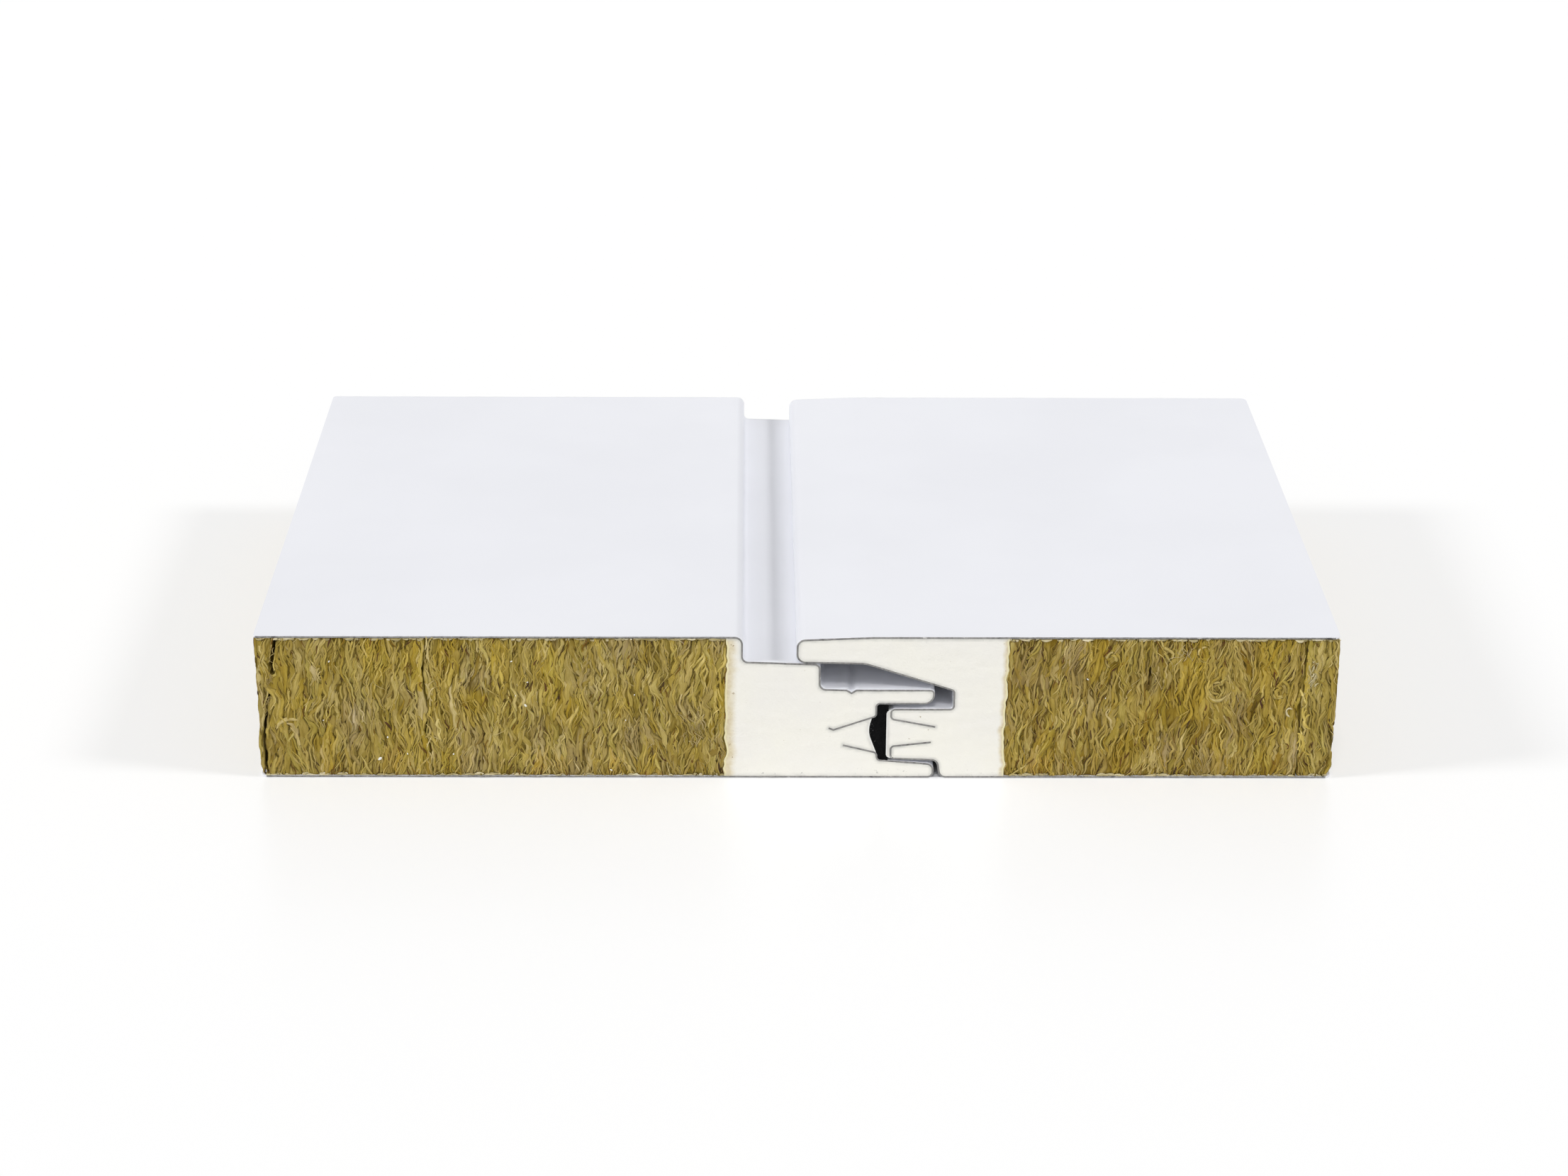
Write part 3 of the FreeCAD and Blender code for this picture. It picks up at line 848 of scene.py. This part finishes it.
class Side:
    """One open side of a lamella, and the ways to lay fibres on it.

    low(v) and high(v) are how far the wool reaches across the face, area is the part of the face
    in the patch (corner, size) of the bake map, and scale is how coarse the fibres are.
    """

    def __init__(self, build, face, felt, low, high, area, patch, scale=1.0, cracks=(), sunk=flush):
        self.build, self.face, self.felt, self.low, self.high = build, face, felt, low, high
        self.area, self.patch, self.scale, self.cracks, self.sunk = area, patch, scale, cracks, sunk

    def baked(self, flat):
        """Places in the bake map of places (u, v) on the face."""
        corner, size = self.patch
        u_low, u_high, v_low, v_high = self.area
        u = (flat[:, 0] - u_low) / (u_high - u_low)
        v = (flat[:, 1] - v_low) / (v_high - v_low)
        return np.stack([corner[0] + size[0] * u.clip(0, 1), corner[1] + size[1] * v.clip(0, 1)], 1)

    def lay(self, u, v, w, width, height, tilt, rails, hue, tone, rng):
        """Adds strands along paths, with a hue and a tone each."""
        points, faces, half, lift, pu, pv = strand_points(self.face, u, v, w, width, height, tilt, rails, rng)
        grain = Noise(int(rng.integers(1e6)))
        # Painted shade and highlight: each strand is darker along its low edges and at its tips, and lighter
        # along its raised rails.
        shade = tone[:, None, None] + 0.45 * (lift - 0.75) + 0.4 * grain(pu / 1.3, pv / 3.0)
        shade = shade + 0 * half
        shade[:, [0, -1]] -= 0.3
        tint = wool_tint(hue[:, None, None, :], shade)
        steps = np.hypot(*(np.diff(line, axis=1, prepend=line[:, :1]) for line in (u, v)))
        run = np.cumsum(steps, 1)
        spot = rng.uniform(0, 400, (2, len(u), 1, 1))
        fibre = np.stack([half + spot[0], run[:, :, None] + spot[1] + 0 * half], -1)
        self.build.add(
            points,
            faces,
            tint=per_point(tint).reshape(-1, 3),
            fibre=per_point(fibre).reshape(-1, 2),
            OFBake=self.baked(per_point(np.stack([pu, pv], -1)).reshape(-1, 2)),
        )

    def clothe(self, total, seed):
        """Covers the side with strands of every kind."""
        rng = np.random.default_rng(seed)
        for kind in STRAND_KINDS:
            self.strew(kind, int(total * kind.share), rng)

    def strew(self, kind, count, rng):
        """Lays strands of one kind along the flow of the felt, clear of the cracks."""
        felt, longest = self.felt, 0.8 * (self.area[3] - self.area[2])
        lengths = [min(length * self.scale, longest) for length in kind.length]
        u, v = flow_paths(rng, felt, count, lengths, self.area, kind.segments, kind.stray)
        width, height = rng.uniform(*kind.width, count) * self.scale, rng.uniform(*kind.height, count)
        margin = width[:, None] / 2 + 0.05
        low = self.low(v) + margin
        u = np.clip(u, low, np.maximum(self.high(v) - margin, low + 0.02))
        for crack in self.cracks:
            u = crack.part(u, v, width)
        dive = 0.35 * (1 - np.sin(np.pi * np.linspace(0, 1, kind.segments + 1)) ** 0.5)
        w = rng.uniform(*kind.depth, count)[:, None] + 0.25 * felt.relief(u, v)[0] - dive - self.sunk(v)
        tilt = rng.normal(0, kind.lean, count)
        middle = kind.segments // 2
        mu, mv = u[:, middle], v[:, middle]
        own = hue_rows(*kind.hues)[rng.integers(0, len(kind.hues), count)]
        hue = 0.5 * own + 0.9 * felt.hue(mu, mv)
        tone = rng.normal(*kind.tone, count)
        tone = tone + 0.35 * felt.noise[8](mu / 7, mv / 9) + 0.45 * felt.noise[6](mu / 2.4, mv / 5)
        self.lay(u, v, w, width, height, tilt, kind.rails, hue, tone, rng)

    def glue_flecks(self, seed):
        """Pale adhesive squeezed out under the sheets, as flat drops along the top and the foot."""
        rng = np.random.default_rng(seed)
        u_low, u_high, v_low, v_high = self.area
        t = np.linspace(-0.5, 0.5, 9)
        for edge, inward, every in ((v_high, -1, 1.5), (v_low, 1, 2.4)):
            count = max(3, int((u_high - u_low) / every))
            middle = rng.uniform(u_low, u_high, count)
            length, width = rng.uniform(0.7, 4.5, count), rng.uniform(0.3, 1.1, count)
            u = middle[:, None] + length[:, None] * t
            sag = rng.uniform(0.0, 0.35, count)[:, None] * np.cos(np.pi * t) ** 2
            wobble = 0.12 * rng.normal(size=(count, 9)).cumsum(1) / 3
            v = edge + inward * (0.28 + width[:, None] / 2.6 + sag + wobble)
            u = np.clip(u, self.low(v) + 0.1, self.high(v) - 0.1) + 1e-3 * t
            w = rng.uniform(-0.38, -0.08, count)[:, None] - self.sunk(v)
            tone = rng.normal(1.1, 0.6, count)
            height, tilt = rng.uniform(0.05, 0.12, count), rng.normal(0, 0.1, count)
            self.lay(u, v, w, width, height, tilt, 2, hue_rows(*["glue"] * count), tone, rng)

    def shot_grains(self, places, seed):
        """Glassy white beads left from the melt: (across, up, length, turn) each."""
        across, up, length, turn = np.array(places, float).T
        count = len(across)
        t = np.linspace(-0.5, 0.5, 7)
        u = across[:, None] + (length * np.sin(turn))[:, None] * t
        v = up[:, None] + (length * np.cos(turn))[:, None] * t
        w = np.full_like(u, 0.05)
        hue, tone = hue_rows(*["shot"] * count), np.full(count, 2.2)
        rng = np.random.default_rng(seed)
        self.lay(u, v, w, 0.55 * length, 0.25 * length, np.zeros(count), 2, hue, tone, rng)

    def torn_flake(self, flake, seed):
        """One strand that stands out, along a smooth path through its points."""
        points = np.array(flake.points, float)
        at, fine = np.linspace(0, 1, len(points)), np.linspace(0, 1, 15)
        u, v = np.interp(fine, at, points[:, 0]), np.interp(fine, at, points[:, 1])
        for line in (u, v):
            line[1:-1] = (line[:-2] + 2 * line[1:-1] + line[2:]) / 4
        w = np.full((1, 15), -0.05)
        width, height, tilt, tone = (np.array([x]) for x in (flake.width, 0.22, 0.1, flake.tone))
        rng = np.random.default_rng(seed)
        self.lay(u[None], v[None], w, width, height, tilt, 3, hue_rows(flake.hue), tone, rng)

    def curls(self, seed):
        """Fibres coiled round the swirls of the felt."""
        rng = np.random.default_rng(seed)
        each, t = 7, np.linspace(0, 1, 11)
        for across, up, radius in self.felt.swirls:
            far = radius * rng.uniform(0.45, 1.1, each)[:, None]
            start, sweep = rng.uniform(0, 6.28, (each, 1)), rng.uniform(0.9, 2.1, (each, 1))
            angle = start + sweep * t
            drift = rng.uniform(0.85, 1.2, (each, 1))
            u = across + far * (1 + (drift - 1) * t) * np.cos(angle)
            v = up + far * 1.25 * np.sin(angle)
            w = rng.uniform(-0.26, -0.08, each)[:, None] + 0 * u
            hue = 0.5 * hue_rows("plain", "ochre", "tan", "grey")[rng.integers(0, 4, each)]
            width, height = rng.uniform(0.5, 1.4, each), rng.uniform(0.1, 0.2, each)
            tilt, tone = rng.normal(0, 0.15, each), rng.normal(0.0, 0.35, each)
            self.lay(u, v, w, width, height, tilt, 1, hue, tone, rng)

    def tuft(self, tuft, seed):
        """Loose fibres of one colour strewn along an upright line."""
        rng = np.random.default_rng(seed)
        (u0, v0), (u1, v1), count = tuft.start, tuft.end, tuft.count
        at = rng.uniform(0, 1, (count, 1))
        t = np.linspace(-0.5, 0.5, 9)
        length = rng.uniform(*tuft.length, (count, 1))
        angle = rng.normal(*tuft.lean, (count, 1)) + rng.normal(0, 0.8, (count, 1)) * t
        u = u0 + (u1 - u0) * at + rng.normal(0, tuft.spread, (count, 1)) + length * t * np.sin(angle)
        v = v0 + (v1 - v0) * at + length * t * np.cos(angle)
        w = rng.uniform(-0.12, 0.0, count)[:, None] + 0 * u
        width, height = rng.uniform(0.6, 1.3, count) * tuft.width, rng.uniform(0.08, 0.18, count)
        tilt, tone = rng.normal(0, 0.15, count), rng.normal(tuft.tone, 0.35, count)
        self.lay(u, v, w, width, height, tilt, 1, hue_rows(*[tuft.hue] * count), tone, rng)


def core_wall(start, end, spacing, side, heights):
    """One wall of a lamella's body, row by row: places in plan, tints, fibre and bake places.

    start(z) and end(z) are its corners in plan, and a hidden wall has no side.
    """
    a = np.stack([np.array(start(z)) for z in heights])
    b = np.stack([np.array(end(z)) for z in heights])
    length = np.linalg.norm(b[0] - a[0])
    share = np.linspace(0, 1, max(2, round(length / spacing) + 1))[:-1]
    if side is None:
        column = a[:, None] + (b - a)[:, None] * share[:, None]
        u = np.broadcast_to(share * length, column.shape[:2])
        v = np.broadcast_to(heights[:, None], u.shape)
        tint = wool_tint(HUES["olive"], np.full(u.shape, -1.0))
        return column, tint, np.stack([u, v], -1), np.full((*u.shape, 2), 0.004)
    for crack in side.cracks:
        for up in np.linspace(crack.v_low, crack.v_high, 3):
            at = abs(float(crack.line(up)) - a[0] @ side.face.across[:2]) / length
            share = np.union1d(share, (at + np.linspace(-0.9, 0.9, 9) / length).clip(0, 0.999))
    column = a[:, None] + (b - a)[:, None] * share[:, None]
    u = column @ side.face.across[:2]
    v = np.broadcast_to(heights[:, None], u.shape)
    height, tone = side.felt.relief(u, v)
    from_corner = np.minimum(share, 1 - share) * length
    lip = np.exp(-from_corner / 0.45) * (0.6 + 0.6 * side.felt.noise[0](v / 3.0, u / 40))
    sink = 0.75 - 0.45 * height + 0.9 * lip
    # Painted shade: the body under the strands is darker all over, and darker still in the seams at its
    # corners.
    tone = tone - 0.5 - 1.1 * lip
    hue = side.felt.hue(u, v)
    for crack in side.cracks:
        gap = crack.depth(u, v)
        sink = sink + 3.0 * gap
        # Painted shade: the split is darker and greyer inside.
        tone = tone - 1.9 * gap
        hue = hue * (1 - gap[..., None]) + hue_rows("crack_shade") * gap[..., None]
    column = column - sink[..., None] * side.face.out[:2]
    flat = np.stack([u, v], -1)
    return column, wool_tint(hue, tone), flat, side.baked(flat.reshape(-1, 2)).reshape(flat.shape)


def wool_core(build, walls, heights):
    """The body of a lamella under its strands: a closed prism, its walls anticlockwise in plan."""
    parts = [core_wall(*wall, heights) for wall in walls]
    ring, tint, fibre, baked = (np.concatenate(rows, 1) for rows in zip(*parts))
    rows, count = ring.shape[:2]
    z = np.broadcast_to(heights[:, None], (rows, count))
    here = np.arange(count)
    after = (here + 1) % count
    row = (np.arange(rows - 1) * count)[:, None]
    around = np.stack([row + here, row + after, row + count + after, row + count + here], -1)
    build.add(
        np.concatenate([ring, z[..., None]], -1),
        [around.reshape(-1, 4), here[::-1][None, :], (here + (rows - 1) * count)[None, :]],
        tint=tint.reshape(-1, 3),
        fibre=fibre.reshape(-1, 2),
        OFBake=baked.reshape(-1, 2),
    )


WOOL_REACH = 173.9
MIDDLE_HEIGHT = 25.0
END_SINK = 0.35         # wool behind the plane of a sawn end
UNDER_SHEET = 0.3       # wool past its solid, into the inside of the sheets
BACK_SCALE, END_SCALE = 1.25, 1.6
FRONT_COLUMN, BACK_COLUMN, END_COLUMN = 0.42, 0.9, 1.1
HIDDEN = (40, None)     # column width of a wall that doesn't show, and no side
CORE_ROWS = 52


# Upright lines are functions that give X, in millimetres, for each height.


def wavy(x, seed, rough):
    """A slightly wavy line at X = x."""
    noise = Noise(seed)

    def line(v):
        v = np.asarray(v)
        return x + rough * noise(v / 5.5, 1) + 0.35 * rough * noise(v / 2, 2)

    return line


def traced(places, seed, rough):
    """A line through (up, across) places, roughened."""
    places, noise = np.array(places), Noise(seed)

    def line(v):
        v = np.asarray(v, float)
        smooth = np.interp(v, places[:, 0], places[:, 1])
        return smooth + rough * noise(v / 2.2, 0) + 0.5 * rough * noise(v / 0.9, 3)

    return line


def beside(line, side, seed, gap=0.45):
    """A line just off another one, to leave a seam that opens and closes."""
    noise = Noise(seed)
    return lambda v: line(v) + side * gap * np.clip(noise(np.asarray(v) / 3.2, 0) + 0.25, 0, 1)


def by_foam(node, side):
    """The ragged line where the wool meets a foam edge."""
    face = box_mm(node)[0 if side < 0 else 1][0]
    return lambda v: face + glue_line(side, np.asarray(v))


def left_end(v):
    """The left end leans in towards its foot, where the corner is torn off."""
    v = np.asarray(v)
    return -WOOL_REACH + 0.6 * smoothstep(50, 0, v) + 1.0 * smoothstep(5, 0.5, v)


def right_end(v):
    """The right end is upright down to the torn corner at its foot."""
    return WOOL_REACH - 1.5 * smoothstep(5, 0.5, np.asarray(v))


# Where the sides of a lamella lie in the bake map, as (corner, size).
CLOSED_PATCHES = {"front": ((0.01, 0.02), (0.98, 0.47)), "back": ((0.01, 0.51), (0.98, 0.47))}
OPEN_PATCHES = {
    "front": ((0.01, 0.35), (0.98, 0.31)),
    "back": ((0.01, 0.68), (0.98, 0.31)),
    "end": ((0.01, 0.01), (0.98, 0.32)),
}

# Where the split near the left end runs, and the wavy seam of the left lamellas: up, across.
LEFT_SPLIT = (
    (0.0, -171.9), (6.7, -172.1), (13.0, -172.2), (23.2, -171.4),
    (32.0, -168.7), (40.7, -168.6), (50.0, -167.0),
)
LEFT_SEAM = (
    (0.0, -118.4), (8.0, -118.2), (16.9, -120.2), (24.5, -119.0),
    (37.0, -120.4), (47.0, -119.2), (50.0, -119.0),
)
# Where the fibres on the right curl: across, up, radius.
RIGHT_SWIRLS = ((135.3, 31.8, 3.2), (155.3, 31.0, 2.8), (101.0, 42.0, 2.4), (130.5, 44.0, 2.6))

# Beads that show on the sawn front: across, up, length, turn.
SHOTS = {
    "left_core_lamella_1": (
        (-91.8, 41.3, 0.8, 0.9), (-86.8, 34.0, 0.7, 1.2), (-90.7, 29.2, 0.6, 0.4), (-87.6, 25.8, 1.3, -0.5),
        (-52.5, 29.6, 0.6, 0.3), (-55.4, 20.6, 0.6, 0.2), (-111.3, 8.4, 0.7, 0.6), (-60.3, 2.7, 0.9, -0.9),
    ),
    "left_core_lamella_2": (
        (-150.1, 41.2, 0.8, 0.6), (-135.2, 6.7, 1.6, 0.9), (-132.4, 14.4, 0.8, 0.1), (-152.9, 20.4, 0.6, 0.8),
        (-126.2, 8.5, 0.7, -0.4),
    ),
    "right_core_lamella_1": ((93.3, 35.3, 0.8, -0.8), (99.3, 28.6, 0.6, 0.2)),
}
TORN_FLAKES = {
    "left_core_lamella_2": (
        Flake([(-168.2, 17.0), (-167.0, 19.6), (-163.8, 21.0), (-160.4, 20.2)], 1.3, 0.5, "tan"),
        Flake([(-165.4, 19.4), (-163.0, 19.0), (-161.6, 16.4), (-162.2, 13.6)], 1.6, 0.3, "grey"),
        Flake([(-163.6, 18.2), (-161.8, 15.6), (-160.8, 11.0)], 1.2, 0.5, "tan"),
        Flake([(-155.8, 39.8), (-154.8, 37.2), (-154.6, 34.2)], 2.4, 0.45, "grey"),
    ),
    "right_core_lamella_1": (
        Flake([(160.0, 24.6), (158.9, 25.2), (157.9, 24.4), (158.2, 22.8), (159.4, 21.8)], 0.7, 1.1, "glue"),
    ),
}
TUFTS = {
    "left_core_lamella_1": (
        Tuft((-118.3, 3), (-118.6, 48), 0.3, 16, (3, 8), 0.6, "tan", 0.6, (0.0, 0.2)),
        Tuft((-33, 12), (-32, 24), 2.0, 40, (2, 6), 0.34, "grey", 0.35, (0.0, 0.45)),
    ),
    "left_core_lamella_2": (
        Tuft((-155, 34), (-154, 40), 0.9, 14, (2, 5), 0.5, "tan", 0.6, (0.1, 0.4)),
        Tuft((-171.4, 22), (-168.0, 46), 0.5, 26, (1.5, 5), 0.2, "grey", 0.0, (0.1, 0.5)),
    ),
    "right_core_lamella_1": (
        Tuft((123.5, 41), (124.5, 46), 1.5, 14, (2, 5), 0.3, "grey", 0.7, (0.2, 0.8)),
    ),
    "right_core_lamella_2": (
        Tuft((163.6, 4), (164.0, 36), 0.5, 22, (3, 8), 1.0, "ochre", 0.55, (0.0, 0.25)),
        Tuft((165.4, 33), (165.8, 42), 0.8, 24, (1.5, 5), 0.6, "glue", 0.45, (0.15, 0.45)),
    ),
}


def sunk_end(face, line):
    """How far the wool of a sawn end lies behind the face's plane, which its line leaves."""
    return lambda v: END_SINK + face.distance - np.abs(line(v))


def lamella_sides(build, node, low_line, high_line, felt, seed, open_end, cracks):
    """The front, the back and, where there is one, the open end of a lamella."""
    low, high = box_mm(node)
    x_low, x_high = float(low_line(MIDDLE_HEIGHT)), float(high_line(MIDDLE_HEIGHT))
    upright = (low[2] - UNDER_SHEET, high[2] + UNDER_SHEET)
    patches = CLOSED_PATCHES if open_end is None else OPEN_PATCHES
    sides = {}
    area = (x_low - 1, x_high + 1, *upright)
    sides["front"] = Side(build, FRONT, felt, low_line, high_line, area, patches["front"], cracks=cracks)
    mirrored = (lambda v: -high_line(v)), (lambda v: -low_line(v))
    area = (-x_high - 1, -x_low + 1, *upright)
    back_felt = Felt(seed + 1, -felt.lean, felt.wave, BACK_SCALE)
    sides["back"] = Side(build, BACK, back_felt, *mirrored, area, patches["back"], BACK_SCALE)
    if open_end is not None:
        sawn = (lambda v: low[1] + 0.3), (lambda v: high[1] - 0.3)
        area = (low[1], high[1], *upright)
        end_felt = Felt(seed + 2, 0.0, 1.0, END_SCALE)
        sunk = sunk_end(open_end, low_line if open_end is LEFT_END else high_line)
        sides["end"] = Side(build, open_end, end_felt, *sawn, area, patches["end"], END_SCALE, sunk=sunk)
    return sides


def lamella_body(build, node, low_line, high_line, sides, open_end):
    """The core of a lamella, under the strands of its sides."""
    low, high = box_mm(node)

    def corner(line, y):
        return lambda z: (float(line(z)), y)

    right = (END_COLUMN, sides["end"]) if open_end is RIGHT_END else HIDDEN
    left = (END_COLUMN, sides["end"]) if open_end is LEFT_END else HIDDEN
    walls = [
        (corner(low_line, low[1]), corner(high_line, low[1]), FRONT_COLUMN, sides["front"]),
        (corner(high_line, low[1]), corner(high_line, high[1]), *right),
        (corner(high_line, high[1]), corner(low_line, high[1]), BACK_COLUMN, sides["back"]),
        (corner(low_line, high[1]), corner(low_line, low[1]), *left),
    ]
    wool_core(build, walls, np.linspace(low[2], high[2], CORE_ROWS))


def lamella(node, low_line, high_line, felt, seed, totals, material, open_end=None, cracks=()):
    """A strip of mineral wool between two lines; totals is the number of strands on each side."""
    build = Build()
    sides = lamella_sides(build, node, low_line, high_line, felt, seed, open_end, cracks)
    lamella_body(build, node, low_line, high_line, sides, open_end)
    for name, strands, flecks in (("back", 3, 8), ("end", 4, 9), ("front", 2, 7)):
        if name in sides:
            sides[name].clothe(totals[name], seed + strands)
            sides[name].glue_flecks(seed + flecks)
    front = sides["front"]
    if node in SHOTS:
        front.shot_grains(SHOTS[node], seed + 6)
    front.curls(seed + 5)
    for i, flake in enumerate(TORN_FLAKES.get(node, ())):
        front.torn_flake(flake, seed + 60 + i)
    for i, tuft in enumerate(TUFTS.get(node, ())):
        front.tuft(tuft, seed + 80 + i)
    piece = build.finish(node.replace("core_lamella", "wool_lamella"), [material])
    return dress(piece, "mineral_wool", node)


def wool_pieces(material):
    """The four lamellas: a full and a sawn-off one on each side of the joint."""
    left_seam = traced(LEFT_SEAM, 51, 0.3)
    lamella(
        "left_core_lamella_1", beside(left_seam, 1, 53), by_foam("left_foam_edge", -1),
        Felt(101, 0.02, 0.55), 110, {"front": 1560, "back": 600}, material,
    )
    left_crack = Crack(traced(LEFT_SPLIT, 61, 0.25), 1.0, 50.0, 0.44, 0.95, 63)
    lamella(
        "left_core_lamella_2", left_end, beside(left_seam, -1, 54), Felt(102, 0.0, 0.55), 120,
        {"front": 860, "back": 310, "end": 760}, material, LEFT_END, [left_crack],
    )
    right_seam = wavy(box_mm("right_core_lamella_2")[0][0], 52, 0.8)
    right_crack = Crack(wavy(113.0, 64, 0.5), 30.0, 45.0, 0.34, 0.5, 65)
    lamella(
        "right_core_lamella_1", by_foam("right_foam_edge", 1), beside(right_seam, -1, 55, 0.3),
        Felt(103, 0.05, 0.55, 1.0, RIGHT_SWIRLS, (-6, -8, -9)), 130, {"front": 1500, "back": 600},
        material, None, [right_crack],
    )
    lamella(
        "right_core_lamella_2", beside(right_seam, 1, 56, 0.3), right_end, Felt(104, -0.08, 0.65), 140,
        {"front": 200, "back": 100, "end": 900}, material, RIGHT_END,
    )


# ---------------- studio


def camera():
    scene = bpy.context.scene
    scene.camera = bpy.data.objects.new("camera", bpy.data.cameras.new("camera"))
    lens = scene.camera.data
    lens.lens, lens.sensor_width = CAMERA_LENS, SENSOR_WIDTH
    lens.clip_start, lens.clip_end = 0.01, 50
    turn = (
        Matrix.Rotation(-CAMERA_YAW, 4, "Z")
        @ Matrix.Rotation(math.pi / 2 - CAMERA_PITCH, 4, "X")
        @ Matrix.Rotation(CAMERA_ROLL, 4, "Z")
    )
    scene.camera.matrix_world = Matrix.Translation(CAMERA_PLACE) @ turn
    scene.collection.objects.link(scene.camera)


def sky():
    """Even white light: dim on the sample, and full white to the camera and in reflections."""
    world = bpy.data.worlds.new("studio")
    bpy.context.scene.world = world
    world.use_nodes = True
    n = Nodes(world.node_tree)
    path = n.node("ShaderNodeLightPath").outputs
    seen = n.maths("MAXIMUM", path["Is Camera Ray"], path["Is Glossy Ray"])
    strength = n.node("ShaderNodeMapRange", {"Value": seen, "To Min": SKY_STRENGTH, "To Max": 1.0})
    background = n.tree.nodes["Background"].inputs
    n.feed(background["Color"], (1.0, 1.0, 1.0))
    n.feed(background["Strength"], strength.outputs["Result"])


def lamps():
    for name, (bearing, height, width, strength) in LAMPS.items():
        lamp = bpy.data.lights.new(name, "SUN")
        lamp.energy, lamp.angle = strength, math.radians(width)
        holder = bpy.data.objects.new(name, lamp)
        bearing, height = math.radians(bearing), math.radians(height)
        level = math.cos(height)
        towards = Vector((math.sin(bearing) * level, -math.cos(bearing) * level, math.sin(height)))
        holder.rotation_euler = towards.to_track_quat("Z", "Y").to_euler()
        holder.location = towards * 2
        bpy.context.scene.collection.objects.link(holder)


def table_material():
    """White table that glows a little for the camera, so that it stays white round the shadow."""
    s = Shader("white_table", roughness=0.32)
    s.wear("Base Color", (0.98, 0.98, 0.98))
    glow = s.node("ShaderNodeEmission", {"Color": (1.0, 1.0, 1.0), "Strength": 1.0}).outputs[0]
    share = s.maths("MULTIPLY", s.node("ShaderNodeLightPath").outputs["Is Camera Ray"], TABLE_GLOW)
    mix = s.node("ShaderNodeMixShader", {0: share, 1: s.principled.outputs[0], 2: glow})
    s.feed(s.tree.nodes["Material Output"].inputs["Surface"], mix.outputs[0])
    return s.material


def floor():
    """The table, in three by three parts: the middle one, under the sample, doesn't glow and is painted a
    darker grey, a painted shade.
    """
    plain = Shader("table_under_the_sample_painted_darker", roughness=0.6)
    # Painted shade: the table under the sample is a darker grey than the rest.
    plain.wear("Base Color", (0.8, 0.8, 0.8))
    low, high = (np.array(corner) / MM for corner in cad_bounds)
    reach = TABLE_REACH
    x, y = np.meshgrid(
        (-reach, low[0] + TABLE_INSET[0], high[0] - TABLE_INSET[0], reach),
        (-reach, low[1] + TABLE_INSET[1], high[1] - TABLE_INSET[1], reach),
    )
    i = (np.arange(3)[:, None] * 4 + np.arange(3)).ravel()
    cells = np.stack([i, i + 1, i + 5, i + 4], -1)
    middle = i == 5
    build = Build()
    build.add(np.stack([x, y, np.full_like(x, -TABLE_GAP)], -1), [cells[~middle]])
    build.add_faces([cells[middle]], 1)
    build.finish("floor", [table_material(), plain.material])


def main():
    bpy.context.scene.view_settings.view_transform = "Standard"
    sheet_materials = [paint_material(), cut_steel_material()]
    reach = -box_mm("left_outer_facing")[0][0]
    for node, (side, radius, seed, slot) in FACINGS.items():
        facing(node, side * reach, radius, seed, slot, sheet_materials)
    foam = foam_material()
    for node, (side, wool_node, soak_width, seed) in FOAM_EDGES.items():
        foam_edge(node, side, wool_node, soak_width, seed, foam)
    seal(seal_material())
    tape = tape_material()
    for node in ("left_edge_tape", "right_edge_tape"):
        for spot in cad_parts[node].material_slots:
            spot.material = tape
    wool_pieces(wool_material())
    floor()
    camera()
    sky()
    lamps()


main()
